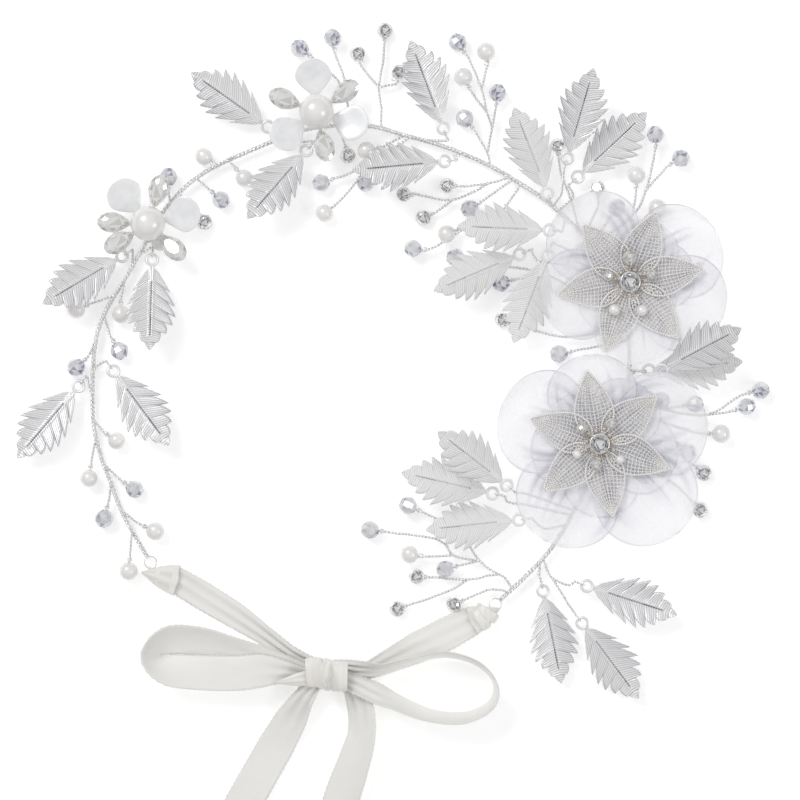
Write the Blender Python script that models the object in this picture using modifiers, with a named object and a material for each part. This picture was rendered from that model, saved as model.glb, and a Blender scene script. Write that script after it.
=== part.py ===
"""Flower crown: a hair vine of wound wire that lies flat, with leaves, beads, flowers and ribbons.

Metres, +Z up. The crown lies on its back on a table: the ring is in the XY plane round the head
opening, the open side of the ring faces -Y, and the table is at Z = 0.
Places round the ring are given as (angle, out): degrees anticlockwise from +X, and millimetres
outside the ring line, so that everything keeps its place on the vine when the ring changes size.
"""
import math

import bmesh
import bpy
from mathutils import Matrix, Vector

MM = 0.001

# ---------------------------------------------------------------- driving dimensions
RING_RADIUS = 0.0700          # line of the vine, from the middle of the head opening
VINE_RADIUS = 0.00065         # wound stem
STALK_RADIUS = 0.00028        # wound pair of fine wires
EYE_RADIUS = 0.0017           # loop at each end of the stem, for its ribbon
EYE_WIRE_RADIUS = 0.0004
GAP = 0.0003                  # clearance between pieces that touch
PEARL_DIAMETER = 0.0052
CRYSTAL_DIAMETER = 0.0052
STONE_DIAMETER = 0.0046
STONE_HEIGHT = 0.0030
STONE_TABLE = 0.72            # flat top of a cut stone, as a share of its diameter
PEARL_SIDES = 8
CRYSTAL_FACETS = 6            # round each of a crystal's two cones
STONE_FACETS = 10

LEAF_REACH = 0.0262           # middle of the eyelet to the tip
LEAF_WIDTH = 0.0128
LEAF_THICKNESS = 0.0005
EYELET_RADIUS = 0.0020
EYELET_HOLE_RADIUS = 0.0011
LEAF_TEETH = 5                # on each side of a blade
LEAF_NECK = 0.06              # half width of the neck, as a share of the leaf's width
LEAF_NOTCH = 0.80             # half width at a notch, as a share of that at its tooth
LEAF_NECK_END = 0.03          # end of the neck, as a share of the blade's length
LEAF_TOOTH_AT = 0.01          # a tooth's tip, this share of the blade past its own part
LEAF_NOTCH_AT = 0.025         # and its notch
LEAF_TIP_TEETH = 0.75         # length of the tip, in teeth
LEAF_FULLNESS = 0.82          # below 1 the widest part is nearer the neck
LEAF_ROUNDNESS = 0.75         # below 1 the blade is fuller at both ends
LEAF_FIRST_WIDTH = 0.06       # share of the blade's swell that the neck starts at
LOOP_WIRE_RADIUS = 0.00022

BACKING_RADIUS = 0.0110       # round pad behind each large flower
BACKING_THICKNESS = 0.0010
ORGANZA_THICKNESS = 0.0004
ORGANZA_RISE = 0.0055         # height of a petal's rim above the flower's middle
FILIGREE_THICKNESS = 0.0006
FILIGREE_RISE = 0.0042
FILIGREE_REACH = 0.0205
BACKING_SIDES = 24
ORGANZA_SEGMENTS = 40
ORGANZA_RINGS = 3
FILIGREE_SEGMENTS = 36
FILIGREE_RINGS = 2
PETAL_MIDDLE = 0.56           # middle of an organza petal's round end, as a share of its reach
HEART = 0.30                  # uncut middle of the organza, as a share of a petal's reach
STAR_NOTCH = 0.58             # depth of the notches between the filigree points
STAR_CURVE = 0.8              # below 1 the points have hollow sides
CENTRE_STONE_DIAMETER = 0.0056
CENTRE_STONE_HEIGHT = 0.0032

CENTRE_PEARL_DIAMETER = 0.0098
SHELL_LENGTH = 0.0112
SHELL_WIDTH = 0.0104
SHELL_THICKNESS = 0.0011
DROP_LENGTH = 0.0098
DROP_WIDTH = 0.0060
DROP_THICKNESS = 0.0034
PETAL_TILT = 14               # degrees that the shell and crystal petals rise by
SHELL_SIDES = 18
SHELL_FOOT_WIDTH = 0.45       # narrowing of a shell petal at its foot, as a share of its width
SHELL_FOOT_LENGTH = 0.45      # and the share of its length that it takes to widen
DROP_FOOT_WIDTH = 0.55        # narrowing of a crystal petal at its foot
SHELL_FOOT = 0.82             # start of a shell petal, as a share of the centre pearl's radius
DROP_FOOT = 0.90              # and of a crystal one
PETAL_SEAT = 1.15             # height of a petal's middle, in half thicknesses

RIBBON_WIDTH = 0.0100
RIBBON_THICKNESS = 0.0004
ROUTE_RING_RADIUS = 0.0700    # ring that the ribbons' routes are drawn for

# ---------------------------------------------------------------- heights that follow from them
VINE_HEIGHT = BACKING_THICKNESS + GAP + VINE_RADIUS
RUNNER_HEIGHT = VINE_HEIGHT + VINE_RADIUS + GAP + STALK_RADIUS
LOOP_RADIUS = (EYELET_RADIUS - EYELET_HOLE_RADIUS) / 2 + LOOP_WIRE_RADIUS + GAP
HINGE_INSET = (EYELET_RADIUS + EYELET_HOLE_RADIUS) / 2
FLOWER_FLOOR = RUNNER_HEIGHT + STALK_RADIUS + GAP

STALK_SEAT = 0.00006          # a stalk starts this much over the middle of the wire it leaves
STEM_STEP = 0.007             # length of the stem's straight pieces
STEM_ROUNDING = 1             # bevel_resolution of the stem: six sides
STALK_ROUNDING = 0            # and of the fine wires: four sides

# ---------------------------------------------------------------- layout: the vine
# (angle, out) from the left end round to the right end
VINE_LINE = [
    (223.5, 8.0), (214, 6.0), (206, 4.5), (198, 4.0), (190, 3.0), (176, 1.5), (168, 0.0),
    (160, -2.5), (152, -3.5), (140, -2.5), (128, -2.5), (111, -4.0), (99, -3.0), (86, -3.0),
    (77, -4.0), (66, -3.5), (55, -2.0), (45, 0.0), (38, 2.0), (26, 5.5), (12, 8.0), (-2, 8.0),
    (-16, 6.5), (-28, 4.5), (-38, 5.5), (-46, 6.5), (-57.5, 8.0),
]

# ---------------------------------------------------------------- layout: the leaves
OVER_PEARL = PEARL_DIAMETER / MM + 0.6    # height in mm of a leaf that lies over a pearl
BESIDE_PEARL = PEARL_DIAMETER / MM - 1.8  # and of one whose edge rests against a pearl
# name: eyelet (angle, out), height of the hinge in mm, heading, tilt and roll in degrees,
# and how far the leaf lifts from where it lies
LEAVES = {
    "leaf_01": ((109.0, 0.4), 3.0, 145, 10, -8, 30),
    "leaf_02": ((101.5, -9.0), 3.4, 230, 16, 10, 20),
    "leaf_03": ((154.5, 0.5), 2.6, 212, 12, 6, 35),
    "leaf_04": ((152.0, -7.5), 3.0, 269, 14, -6, 35),
    "leaf_05": ((184.5, 6.0), 3.2, 230, 4, 8, 35),
    "leaf_06": ((181.5, -4.0), 3.2, 307, 8, -8, 35),
    "leaf_07": ((68.5, 1.0), 3.6, 111, 10, 14, 35),
    "leaf_08": ((65.0, -7.5), 6.6, 186, 12, -6, 35),
    "leaf_09": ((41.0, 3.0), 4.3, 112, 16, -10, 35),
    "leaf_10": ((43.5, 13.5), 7.4, 74, 12, 6, 35),
    "leaf_11": ((39.5, 12.5), 3.6, 43, 6, 8, 12),
    "leaf_12": ((34.0, -3.0), 7.0, 178, 12, 4, 25),
    "leaf_13": ((33.0, -13.5), OVER_PEARL + 0.4, 203, 4, -8, 18),
    "leaf_14": ((29.0, -7.0), OVER_PEARL, 249, 0, -4, 6),
    "leaf_15": ((-1.0, 17.0), 6.0, 29, 20, 8, 25),
    "leaf_16": ((-1.0, 13.5), 3.0, 5, 4, -6, 12),
    "leaf_17": ((-42.0, -16.5), 6.6, 167, 8, 4, 18),
    "leaf_18": ((-37.5, -15.0), 8.6, 142, 22, -6, 35),
    "leaf_19": ((-42.5, -6.0), BESIDE_PEARL, 186, 7, 4, 8),
    "leaf_20": ((-49.5, 13.0), 3.4, 281, 0, -12, 35),
    "leaf_21": ((-48.0, 27.0), 3.2, 307, 0, 8, 35),
    "leaf_22": ((-43.0, 20.5), 3.4, 342, 3, -6, 35),
}

# ---------------------------------------------------------------- layout: the bead sprays
# Each spray runs along the vine between two angles. A stalk starts on the vine, at an angle, or
# at a place (angle, out) of an earlier stalk, and goes on through its places. On its end sits a
# pearl, a crystal or a stone, or it ends in the wire loop of the leaf that it names.
SPRAYS = {
    "spray_left_end": ((191, 218), [
        ("pearl", [217.5, (223, 14.5)]),
        ("pearl", [212.5, (217.5, 3.5), (220.5, 1.5)]),
        ("crystal", [206.5, (210, 8), (212, 11)]),
        ("crystal", [201.5, (207, 1.5), (210, -0.5)]),
        ("pearl", [196, (201, 7.5), (203.5, 9.5)]),
        ("pearl", [192, (195.5, 1), (198, -1.5)]),
    ]),
    "spray_left_side": ((148, 187), [
        ("crystal", [174, (178.5, 3.5), (180.5, 6.5)]),
        ("crystal", [168.5, (173.5, -3), (176.5, -5.5)]),
        ("pearl", [158.5, (164, -3.5), (167.5, -4.5)]),
        ("pearl", [163.5, (166.5, 4), (168.5, 8)]),
        ("pearl", [148.5, (147, -6.9)]),
        ("leaf_03", [155.5]),
        ("leaf_04", [152.5]),
        ("leaf_05", [186.5]),
        ("leaf_06", [182, (180.5, 1)]),
    ]),
    "spray_between_flowers": ((119, 139), [
        ("crystal", [138, (136, 0.5), (134, 3)]),
        ("stone", [135, (135, -8), (135.5, -13)]),
        ("pearl", [124, (124, -1), (125, 1.2)]),
        ("crystal", [129.5, (128.5, -8), (128, -11.5)]),
        ("pearl", [121, (120, -7), (119.5, -10)]),
    ]),
    "spray_flower_twig": ((60, 107), [
        ("stone", [82.5, (83, 2), (84, 8), (83.8, 16), (84, 24)]),
        ("stone", [(84, 8), (88, 14), (88.5, 17)]),
        ("stone", [(84, 8), (80.5, 10), (80.5, 13)]),
        ("crystal", [89, (90.5, 3), (92.5, 9.5), (97, 16.5), (99, 19.5)]),
        ("crystal", [(90.5, 3), (91, 9.5), (93, 18.5), (93, 21.5)]),
        ("stone", [92.5, (90.5, -11.5)]),
        ("pearl", [76.5, (81, -8), (85.5, -10)]),
        ("crystal", [75, (80.5, -10.5), (84.5, -13.5), (91.5, -17), (99, -18.5)]),
        ("crystal", [(80.5, -10.5), (85, -19)]),
        ("pearl", [(84.5, -13.5), (91.5, -22.5), (99.5, -27)]),
        ("leaf_01", [106.5]),
        ("leaf_02", [104.5, (103, -6)]),
        ("leaf_07", [71.5, (69.5, -3)]),
        ("leaf_08", [61, (63.5, -5)]),
    ]),
    "spray_top": ((52, 57), [
        ("crystal", [55, (57, 0.5), (62.5, 4.5), (65, 6)]),
        ("crystal", [(57, 0.5), (59, 7), (60.5, 13), (61.5, 16.5)]),
        ("pearl", [(59, 7), (61.5, 10), (66.5, 14), (68.5, 16.5)]),
        ("crystal", [(61.5, 10), (64.5, 15.5), (69, 22), (71.5, 25)]),
        ("pearl", [(64.5, 15.5), (65.5, 23), (66.5, 25.5)]),
    ]),
    "spray_inner": ((33, 50), [
        ("stone", [49.5, (52.5, -6), (58.5, -11.5), (61.5, -13)]),
        ("stone", [(52.5, -6), (58, -15.5), (70, -19), (72.5, -20)]),
        ("stone", [(58, -15.5), (61, -21.5), (63.5, -24)]),
        ("crystal", [48.5, (51, -11), (52.5, -15)]),
        ("pearl", [46.5, (45.5, -10.5), (49.5, -18.5), (53.5, -24.5)]),
        ("crystal", [(49.5, -18.5), (54, -29), (57.5, -32), (61.5, -33)]),
        ("leaf_09", [40.5]),
        ("leaf_10", [38, (39, 6)]),
        ("leaf_11", [36.5, (37, 8)]),
        ("leaf_12", [34.5]),
    ]),
    "spray_upper_outer": ((17, 31), [
        ("stone", [30.5, (36.5, 7), (42, 9.5), (46.5, 14.5)]),
        ("stone", [29, (32.5, 12), (35.5, 15)]),
        ("crystal", [26, (28, 19.5), (30.5, 26), (35.5, 35), (37, 37)]),
        ("crystal", [(30.5, 26), (32, 34.5), (32, 39)]),
        ("pearl", [(28, 19.5), (32, 24.5), (33.5, 26)]),
        ("crystal", [26.5, (30.5, 16.5)]),
        ("pearl", [24, (25, 18), (27, 26.5)]),
    ]),
    "spray_inner_behind": ((3, 16), [
        ("crystal", [9, (24, -9), (35, -21), (45.5, -28)]),
        ("crystal", [(24, -9), (27, -17), (28.5, -22)]),
        ("pearl", [(24, -9), (23, -13), (22, -18)]),
        ("stone", [7, (7.5, -9.5), (11.5, -19), (16.5, -25.5)]),
        ("crystal", [5, (3, -11.5)]),
        ("leaf_13", [14, (23, -1.5), (29, -10)]),
        ("leaf_14", [15.5, (24, 2)]),
    ]),
    "spray_right": ((-22, 1), [
        ("crystal", [-6, (-8, 18), (-8, 30.5), (-4.5, 39.5), (-3.5, 45)]),
        ("crystal", [(-8, 30.5), (-7, 37), (-6, 41.5)]),
        ("pearl", [-9, (-11, 27), (-10.5, 35.5)]),
        ("crystal", [-12, (-13, 22), (-14.5, 27.5)]),
        ("stone", [-15, (-17, 23), (-16, 28), (-17, 33.5)]),
        ("stone", [-18, (-20, 25), (-22.5, 36)]),
        ("crystal", [-3, (-6.5, 17.5)]),
        ("crystal", [(-8, 18), (-6.5, 27)]),
        ("leaf_15", [-1, (-1.5, 13)]),
        ("leaf_16", [-2.5]),
    ]),
    "spray_lower_left": ((-57, -30), [
        ("stone", [-54, (-54.5, 2), (-61, -1.5), (-72.5, -8)]),
        ("stone", [(-61, -1.5), (-67.5, -1), (-79, -0.5)]),
        ("stone", [-55, (-58, 4), (-66.5, 3)]),
        ("crystal", [(-54.5, 2), (-56.5, -4.5), (-56.5, -14.5), (-60, -20), (-67.5, -27.5)]),
        ("crystal", [(-56.5, -4.5), (-61.5, -9.5), (-63.5, -15.5), (-83, -23.5)]),
        ("pearl", [(-61.5, -9.5), (-70, -13), (-72.5, -14.5)]),
        ("crystal", [(-56.5, -4.5), (-65, -7)]),
        ("pearl", [(-56.5, -14.5), (-59.5, -17.5)]),
        ("leaf_17", [-34, (-38, -6), (-41, -12)]),
        ("leaf_18", [-33, (-35, -5), (-36.5, -10)]),
        ("leaf_19", [-36, (-40, 1)]),
        ("leaf_20", [-46, (-48, 9)]),
        ("leaf_22", [-45, (-46.5, 12), (-45, 17)]),
        ("leaf_21", [(-46.5, 12), (-47.5, 20)]),
    ]),
}

# ---------------------------------------------------------------- layout: the flowers
# Large flowers: middle (angle, out), height above the vine, directions and reaches of the five
# organza petals in degrees and mm, and the direction of the first filigree point.
LARGE_FLOWERS = {
    "upper": ((16.5, 11.5), 0.0,
              [(32, 27.5), (-22, 27.5), (-84, 23.0), (194, 25.5), (130, 28.0)], 70),
    "lower": ((-17.5, 3.0), 0.0,
              [(18, 30.5), (99, 25.0), (159, 29.5), (-120, 31.0), (-48, 33.0)], 40),
}
# Small flowers: middle (angle, out), then directions of the shell petals and the crystal drops
SMALL_FLOWERS = {
    "left": ((145, -1.5), [130, 15], [73, 178, 212, -44]),
    "top": ((97.5, 1.0), [95, -17, 216], [158, 35, -77]),
}

# ---------------------------------------------------------------- layout: the ribbons
# (x, y, z) in mm, bank in degrees (0 lies flat, 90 stands on its edge) and share of full width.
# Each ribbon runs from its knot on the vine to the bow, round one loop and out along its tail.
LEFT_RIBBON = [
    (-48.4, -60.2, 1.4, 6, 0.72), (-41, -64.6, 1.2, 4, 0.76), (-32, -70.0, 1.8, 18, 0.74),
    (-24, -75.4, 2.2, 36, 0.64), (-17, -80.4, 1.7, 30, 0.46), (-12, -83.0, 0.9, 6, 0.34),
    (-7, -84.2, 1.0, 0, 0.30), (-2, -84.4, 2.4, 12, 0.34), (3, -84.8, 4.6, 44, 0.52),
    (9, -84.6, 6.5, 72, 0.85), (18, -82.2, 6.7, 78, 1.0), (27, -80.8, 6.2, 78, 1.0),
    (35.5, -83.2, 5.9, 80, 1.0), (40.5, -88.6, 5.8, 84, 1.0), (39.5, -94.6, 5.8, 80, 1.0),
    (32, -98.4, 5.8, 76, 1.0), (22, -97.6, 5.9, 74, 1.0), (12, -93.6, 6.2, 66, 0.95),
    (4, -90.0, 5.7, 28, 0.60), (-3, -87.6, 5.1, 0, 0.40), (-9, -88.2, 5.3, 0, 0.40),
    (-12.8, -92.8, 4.9, 0, 0.56), (-16.4, -99.0, 2.2, 0, 0.86), (-20.6, -106.4, 0.9, 0, 0.98),
    (-26.6, -117.0, 0.9, 0, 1.0), (-32.6, -128.0, 0.9, 0, 1.0), (-37, -139.0, 0.9, 0, 1.0),
    (-37.6, -151.0, 0.9, 0, 1.0), (-33, -162.0, 0.9, 0, 1.0), (-24, -169.6, 0.9, 0, 1.0),
    (-12.5, -172.4, 0.9, 0, 1.0), (-2, -168.6, 0.9, 0, 1.0), (4.6, -160.0, 0.9, 0, 1.0),
]
RIGHT_RIBBON = [
    (34.0, -71.6, 1.4, 0, 0.80), (27, -75.2, 1.2, 0, 0.90), (19, -79.0, 1.0, 0, 0.85),
    (11, -82.8, 0.8, 0, 0.62), (4, -86.0, 0.7, 0, 0.40), (-2, -87.6, 0.7, 0, 0.30),
    (-7, -87.6, 1.0, 0, 0.30), (-11, -86.2, 1.8, -6, 0.34), (-16, -84.4, 2.6, -12, 0.50),
    (-23, -82.8, 3.4, -22, 0.76), (-32, -80.2, 4.6, -34, 0.98), (-41, -77.4, 5.4, -34, 1.0),
    (-49.4, -76.6, 5.8, -36, 1.0), (-54.2, -79.3, 5.9, -52, 1.0), (-54.4, -82.5, 5.9, -52, 1.0),
    (-50.0, -85.0, 6.1, -34, 1.0), (-42, -85.7, 6.4, -24, 1.0), (-32, -85.9, 6.6, -22, 1.0),
    (-24.4, -85.2, 6.3, -14, 0.92), (-18.5, -85.6, 5.4, -8, 0.62), (-12.5, -86.6, 3.9, -4, 0.38),
    (-5, -87.0, 3.6, 0, 0.34),
    (0.4, -90.0, 3.5, 8, 0.50), (3, -95.8, 3.9, 34, 0.84), (3.2, -103.6, 3.9, 42, 1.0),
    (0.6, -112.6, 3.1, 28, 1.0), (-2.6, -122.4, 1.7, 12, 1.0), (-4.4, -132.6, 0.9, 0, 1.0),
    (-2.6, -143.0, 0.9, 0, 1.0), (4.6, -150.4, 0.9, 0, 1.0), (15, -152.6, 0.9, 0, 1.0),
    (25.4, -149.4, 0.9, 0, 1.0), (33.4, -142.4, 0.9, 0, 1.0), (38.8, -133.0, 0.9, 0, 1.0),
]
KNOT_SIZE = (0.0042, 0.0060, 0.0044)
BOW_KNOT_SIZE = (0.0120, 0.0078, 0.0032)
BOW_KNOT_PLACE = (-6.4, -86.2, 7.2)
BOW_KNOT_HEADING = -10
MOUTH_SHARE = 0.42            # width of a ribbon where it leaves its knot
MOUTH_LIFT = 0.2              # and its height above the next point, in mm


# ---------------------------------------------------------------- scene, materials, helpers
def clear_scene():
    for old in list(bpy.data.objects):
        bpy.data.objects.remove(old, do_unlink=True)


def new_collection(name):
    collection = bpy.data.collections.new(name)
    bpy.context.scene.collection.children.link(collection)
    return collection


def make_material(name, colour, roughness, metallic):
    material = bpy.data.materials.new(name)
    material.use_nodes = True
    shader = material.node_tree.nodes["Principled BSDF"]
    shader.inputs["Base Color"].default_value = (*colour, 1.0)
    shader.inputs["Roughness"].default_value = roughness
    shader.inputs["Metallic"].default_value = metallic
    return material


def on_ring(place, height):
    """World point of an (angle, out) place, at a height in metres."""
    angle, out = place
    radius = RING_RADIUS + out * MM
    turn = math.radians(angle)
    return Vector((radius * math.cos(turn), radius * math.sin(turn), height))


def smooth_path(points, step):
    """Catmull-Rom points through the given ones, about a step apart."""
    path = []
    last = len(points) - 1
    for i in range(last):
        p0 = points[max(i - 1, 0)]
        p1 = points[i]
        p2 = points[i + 1]
        p3 = points[min(i + 2, last)]
        pieces = max(1, round((p2 - p1).length / step))
        for k in range(pieces):
            t = k / pieces
            path.append(0.5 * (2 * p1 + (p2 - p0) * t + (2 * p0 - 5 * p1 + 4 * p2 - p3) * t ** 2
                               + (3 * p1 - 3 * p2 + p3 - p0) * t ** 3))
    path.append(points[-1].copy())
    return path


def add_object(name, data, collection, material=None):
    thing = bpy.data.objects.new(name, data)
    collection.objects.link(thing)
    if material:
        data.materials.append(material)
    return thing


def tube_mesh(name, points, radius, rounding=STALK_ROUNDING, cyclic=False):
    """A wire along the points, as a closed mesh."""
    curve = bpy.data.curves.new(name, "CURVE")
    curve.dimensions = "3D"
    curve.bevel_depth = radius
    curve.bevel_resolution = rounding
    curve.use_fill_caps = True
    spline = curve.splines.new("POLY")
    spline.points.add(len(points) - 1)
    for slot, point in zip(spline.points, points):
        slot.co = (*point, 1.0)
    spline.use_cyclic_u = cyclic
    holder = bpy.data.objects.new(name, curve)
    bpy.context.scene.collection.objects.link(holder)
    evaluated = holder.evaluated_get(bpy.context.evaluated_depsgraph_get())
    mesh = bpy.data.meshes.new_from_object(evaluated)
    bpy.data.objects.remove(holder, do_unlink=True)
    bpy.data.curves.remove(curve)
    weld(mesh)
    return mesh


def weld(mesh):
    work = bmesh.new()
    work.from_mesh(mesh)
    bmesh.ops.remove_doubles(work, verts=work.verts, dist=0.00001)
    bmesh.ops.recalc_face_normals(work, faces=work.faces)
    work.to_mesh(mesh)
    work.free()


def shade(thing, degrees=35):
    thing.data.shade_smooth()
    thing.data.set_sharp_from_angle(angle=math.radians(degrees))


def mesh_from(name, work):
    mesh = bpy.data.meshes.new(name)
    work.to_mesh(mesh)
    work.free()
    return mesh


def unite(name, meshes, collection, cutters, material):
    """One solid from overlapping ones: the first joined with all the others."""
    body = add_object(name, meshes[0], collection, material)
    tools = bpy.data.collections.new(name + "_tools")
    cutters.children.link(tools)
    for number, mesh in enumerate(meshes[1:]):
        tool = add_object("%s_tool_%02d" % (name, number), mesh, tools)
        tool.hide_render = True
        tool.display_type = "WIRE"
    return body, tools


def join_solids(pairs):
    """The unions, added after every wire is made so that each is worked out only once."""
    for body, tools in pairs:
        join = body.modifiers.new("join", "BOOLEAN")
        join.operation = "UNION"
        join.operand_type = "COLLECTION"
        join.collection = tools
        join.solver = "EXACT"


# ---------------------------------------------------------------- beads
def pearl_mesh(name, centre, diameter):
    work = bmesh.new()
    bmesh.ops.create_uvsphere(work, u_segments=PEARL_SIDES, v_segments=5, radius=diameter / 2,
                              matrix=Matrix.Translation(centre))
    return mesh_from(name, work)


def crystal_mesh(name, centre, diameter, direction):
    """Two cones of six facets, base to base, along the wire."""
    work = bmesh.new()
    bmesh.ops.create_uvsphere(work, u_segments=CRYSTAL_FACETS, v_segments=4, radius=diameter / 2)
    turn = direction.to_track_quat("Z", "Y").to_matrix().to_4x4()
    bmesh.ops.transform(work, matrix=Matrix.Translation(centre) @ turn, verts=work.verts)
    return mesh_from(name, work)


def stone_mesh(name, centre, diameter, height):
    """A cut stone in its cup, table upwards."""
    work = bmesh.new()
    bmesh.ops.create_cone(work, cap_ends=True, segments=STONE_FACETS, radius1=diameter / 2,
                          radius2=diameter / 2 * STONE_TABLE, depth=height,
                          matrix=Matrix.Translation(centre))
    return mesh_from(name, work)


BEAD_HEIGHT = {
    "pearl": PEARL_DIAMETER / 2,
    "crystal": CRYSTAL_DIAMETER / 2,
    "stone": STONE_HEIGHT / 2,
}


def bead_mesh(kind, name, centre, direction):
    if kind == "pearl":
        return pearl_mesh(name, centre, PEARL_DIAMETER)
    if kind == "crystal":
        return crystal_mesh(name, centre, CRYSTAL_DIAMETER, direction)
    return stone_mesh(name, centre, STONE_DIAMETER, STONE_HEIGHT)


# ---------------------------------------------------------------- leaves
def leaf_matrix(name):
    """Place of a leaf's hinge line, which is the middle of its eyelet's rim."""
    eyelet, height, heading, tilt, roll, lift = LEAVES[name]
    turn = (Matrix.Rotation(math.radians(heading), 4, "Z")
            @ Matrix.Rotation(-math.radians(tilt), 4, "Y")
            @ Matrix.Rotation(math.radians(roll), 4, "X"))
    flat = Vector((math.cos(math.radians(heading)), math.sin(math.radians(heading)), 0))
    hinge = on_ring(eyelet, height * MM) - flat * HINGE_INSET * math.cos(math.radians(tilt))
    return Matrix.Translation(hinge) @ turn


def leaf_half_width(share):
    """Half width of the blade's tooth tips at a share of the blade's length."""
    along = LEAF_FIRST_WIDTH + (1 - LEAF_FIRST_WIDTH) * share
    return LEAF_WIDTH / 2 * math.sin(math.pi * along ** LEAF_FULLNESS) ** LEAF_ROUNDNESS


def leaf_outline():
    """Right side of the blade as tooth tips and notches, from the neck to the tip."""
    neck = HINGE_INSET + EYELET_RADIUS
    tip = HINGE_INSET + LEAF_REACH
    blade = tip - neck
    side = [(neck + blade * LEAF_NECK_END, LEAF_WIDTH * LEAF_NECK)]
    for i in range(LEAF_TEETH):
        share = (i + 1) / (LEAF_TEETH + LEAF_TIP_TEETH)
        half = leaf_half_width(share)
        side.append((neck + blade * (share + LEAF_TOOTH_AT), half))
        side.append((neck + blade * (share + LEAF_NOTCH_AT), half * LEAF_NOTCH))
    right = [(x, -y) for x, y in side]
    left = [(x, y) for x, y in reversed(side)]
    start = math.asin(LEAF_WIDTH * LEAF_NECK / EYELET_RADIUS)
    arc = []
    steps = 8
    for i in range(steps + 1):
        turn = start + (2 * math.pi - 2 * start) * i / steps
        arc.append((HINGE_INSET + EYELET_RADIUS * math.cos(turn), EYELET_RADIUS * math.sin(turn)))
    return right + [(tip, 0.0)] + left + arc


def leaf_curve():
    curve = bpy.data.curves.new("leaf", "CURVE")
    curve.dimensions = "2D"
    curve.fill_mode = "BOTH"
    curve.extrude = LEAF_THICKNESS / 2
    hole = []
    sides = 8
    for i in range(sides):
        turn = 2 * math.pi * i / sides
        hole.append((HINGE_INSET + EYELET_HOLE_RADIUS * math.cos(turn),
                     EYELET_HOLE_RADIUS * math.sin(turn)))
    for outline in (leaf_outline(), hole):
        spline = curve.splines.new("POLY")
        spline.points.add(len(outline) - 1)
        for slot, (x, y) in zip(spline.points, outline):
            slot.co = (x, y, 0.0, 1.0)
        spline.use_cyclic_u = True
    return curve


def build_leaves(collection, material):
    curve = leaf_curve()
    curve.materials.append(material)
    for name in LEAVES:
        leaf = bpy.data.objects.new(name, curve)
        collection.objects.link(leaf)
        leaf.matrix_world = leaf_matrix(name)


def loop_mesh(name, leaf):
    """The wire loop that a leaf's eyelet hangs on, round the leaf's hinge line."""
    place = leaf_matrix(leaf)
    sides = 8
    ring = []
    for i in range(sides):
        turn = 2 * math.pi * (i + 0.5) / sides
        ring.append(place @ Vector((LOOP_RADIUS * math.cos(turn), 0, LOOP_RADIUS * math.sin(turn))))
    return tube_mesh(name, ring, LOOP_WIRE_RADIUS, cyclic=True)


# ---------------------------------------------------------------- vine and sprays
def vine_line_out(angle):
    """Out value of the vine's own line at an angle, straight between its points."""
    for (a0, out0), (a1, out1) in zip(VINE_LINE, VINE_LINE[1:]):
        if a1 <= angle <= a0:
            return out0 + (out1 - out0) * (angle - a0) / (a1 - a0)
    return VINE_LINE[-1][1]


def end_loop_mesh(name, place, next_place):
    """The eye at an end of the vine that its ribbon is knotted through."""
    end = on_ring(place, VINE_HEIGHT)
    away = (end - on_ring(next_place, VINE_HEIGHT)).normalized()
    radius = EYE_RADIUS
    centre = end + away * radius
    side = Vector((-away.y, away.x, 0))
    sides = 12
    ring = []
    for i in range(sides):
        turn = 2 * math.pi * (i + 0.5) / sides
        ring.append(centre + away * radius * math.cos(turn) + side * radius * math.sin(turn))
    return tube_mesh(name, ring, EYE_WIRE_RADIUS, cyclic=True)


def build_vine(collection, cutters, material):
    points = [on_ring(place, VINE_HEIGHT) for place in VINE_LINE]
    stem = tube_mesh("vine_wire", smooth_path(points, STEM_STEP), VINE_RADIUS, STEM_ROUNDING)
    left_eye = end_loop_mesh("left_eye", VINE_LINE[0], VINE_LINE[1])
    right_eye = end_loop_mesh("right_eye", VINE_LINE[-1], VINE_LINE[-2])
    return unite("vine_wire", [stem, left_eye, right_eye], collection, cutters, material)


def vine_top(angle):
    """Place where the wires of a spray lie along the top of the vine."""
    return on_ring((angle, vine_line_out(angle)), RUNNER_HEIGHT)


def runner_points(first, last, roots):
    """The wires of a spray along the vine, with a point wherever a stalk leaves them."""
    count = max(2, round(abs(last - first) / 7) + 1)
    angles = {first + (last - first) * i / (count - 1) for i in range(count)}
    angles = sorted(angle for angle in angles if all(abs(angle - root) > 1 for root in roots))
    return [vine_top(angle) for angle in sorted(angles + list(roots))]


def stalk_points(kind, start, places):
    """Points of one stalk, from its start to its bead or its leaf's loop."""
    if kind in LEAVES:
        loop = leaf_matrix(kind)
        ends = [loop @ Vector((-LOOP_RADIUS - STALK_RADIUS * 4, 0, 0)),
                loop @ Vector((-LOOP_RADIUS, 0, 0))]
    else:
        ends = [on_ring(places[-1], BEAD_HEIGHT[kind])]
        places = places[:-1]
    route = [start]
    for number, place in enumerate(places, 1):
        share = number / (len(places) + 1)
        route.append(on_ring(place, start.z + (ends[0].z - start.z) * share))
    return route + ends


def build_spray(name, collection, cutters, material):
    (first, last), stalks = SPRAYS[name]
    roots = {places[0] for kind, places in stalks if not isinstance(places[0], tuple)}
    meshes = [tube_mesh(name, runner_points(first, last, roots), STALK_RADIUS)]
    joints = {}
    for number, (kind, places) in enumerate(stalks):
        label = "%s_%02d" % (name, number)
        start = joints[places[0]] if places[0] in joints else vine_top(places[0])
        start = start + Vector((0, 0, STALK_SEAT))
        route = stalk_points(kind, start, places[1:])
        for place, point in zip(places[1:], route[1:]):
            joints.setdefault(place, point)
        meshes.append(tube_mesh(label, route, STALK_RADIUS))
        if kind in LEAVES:
            meshes.append(loop_mesh(label, kind))
        else:
            direction = (route[-1] - route[-2]).normalized()
            meshes.append(bead_mesh(kind, label, route[-1], direction))
    return unite(name, meshes, collection, cutters, material)


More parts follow.
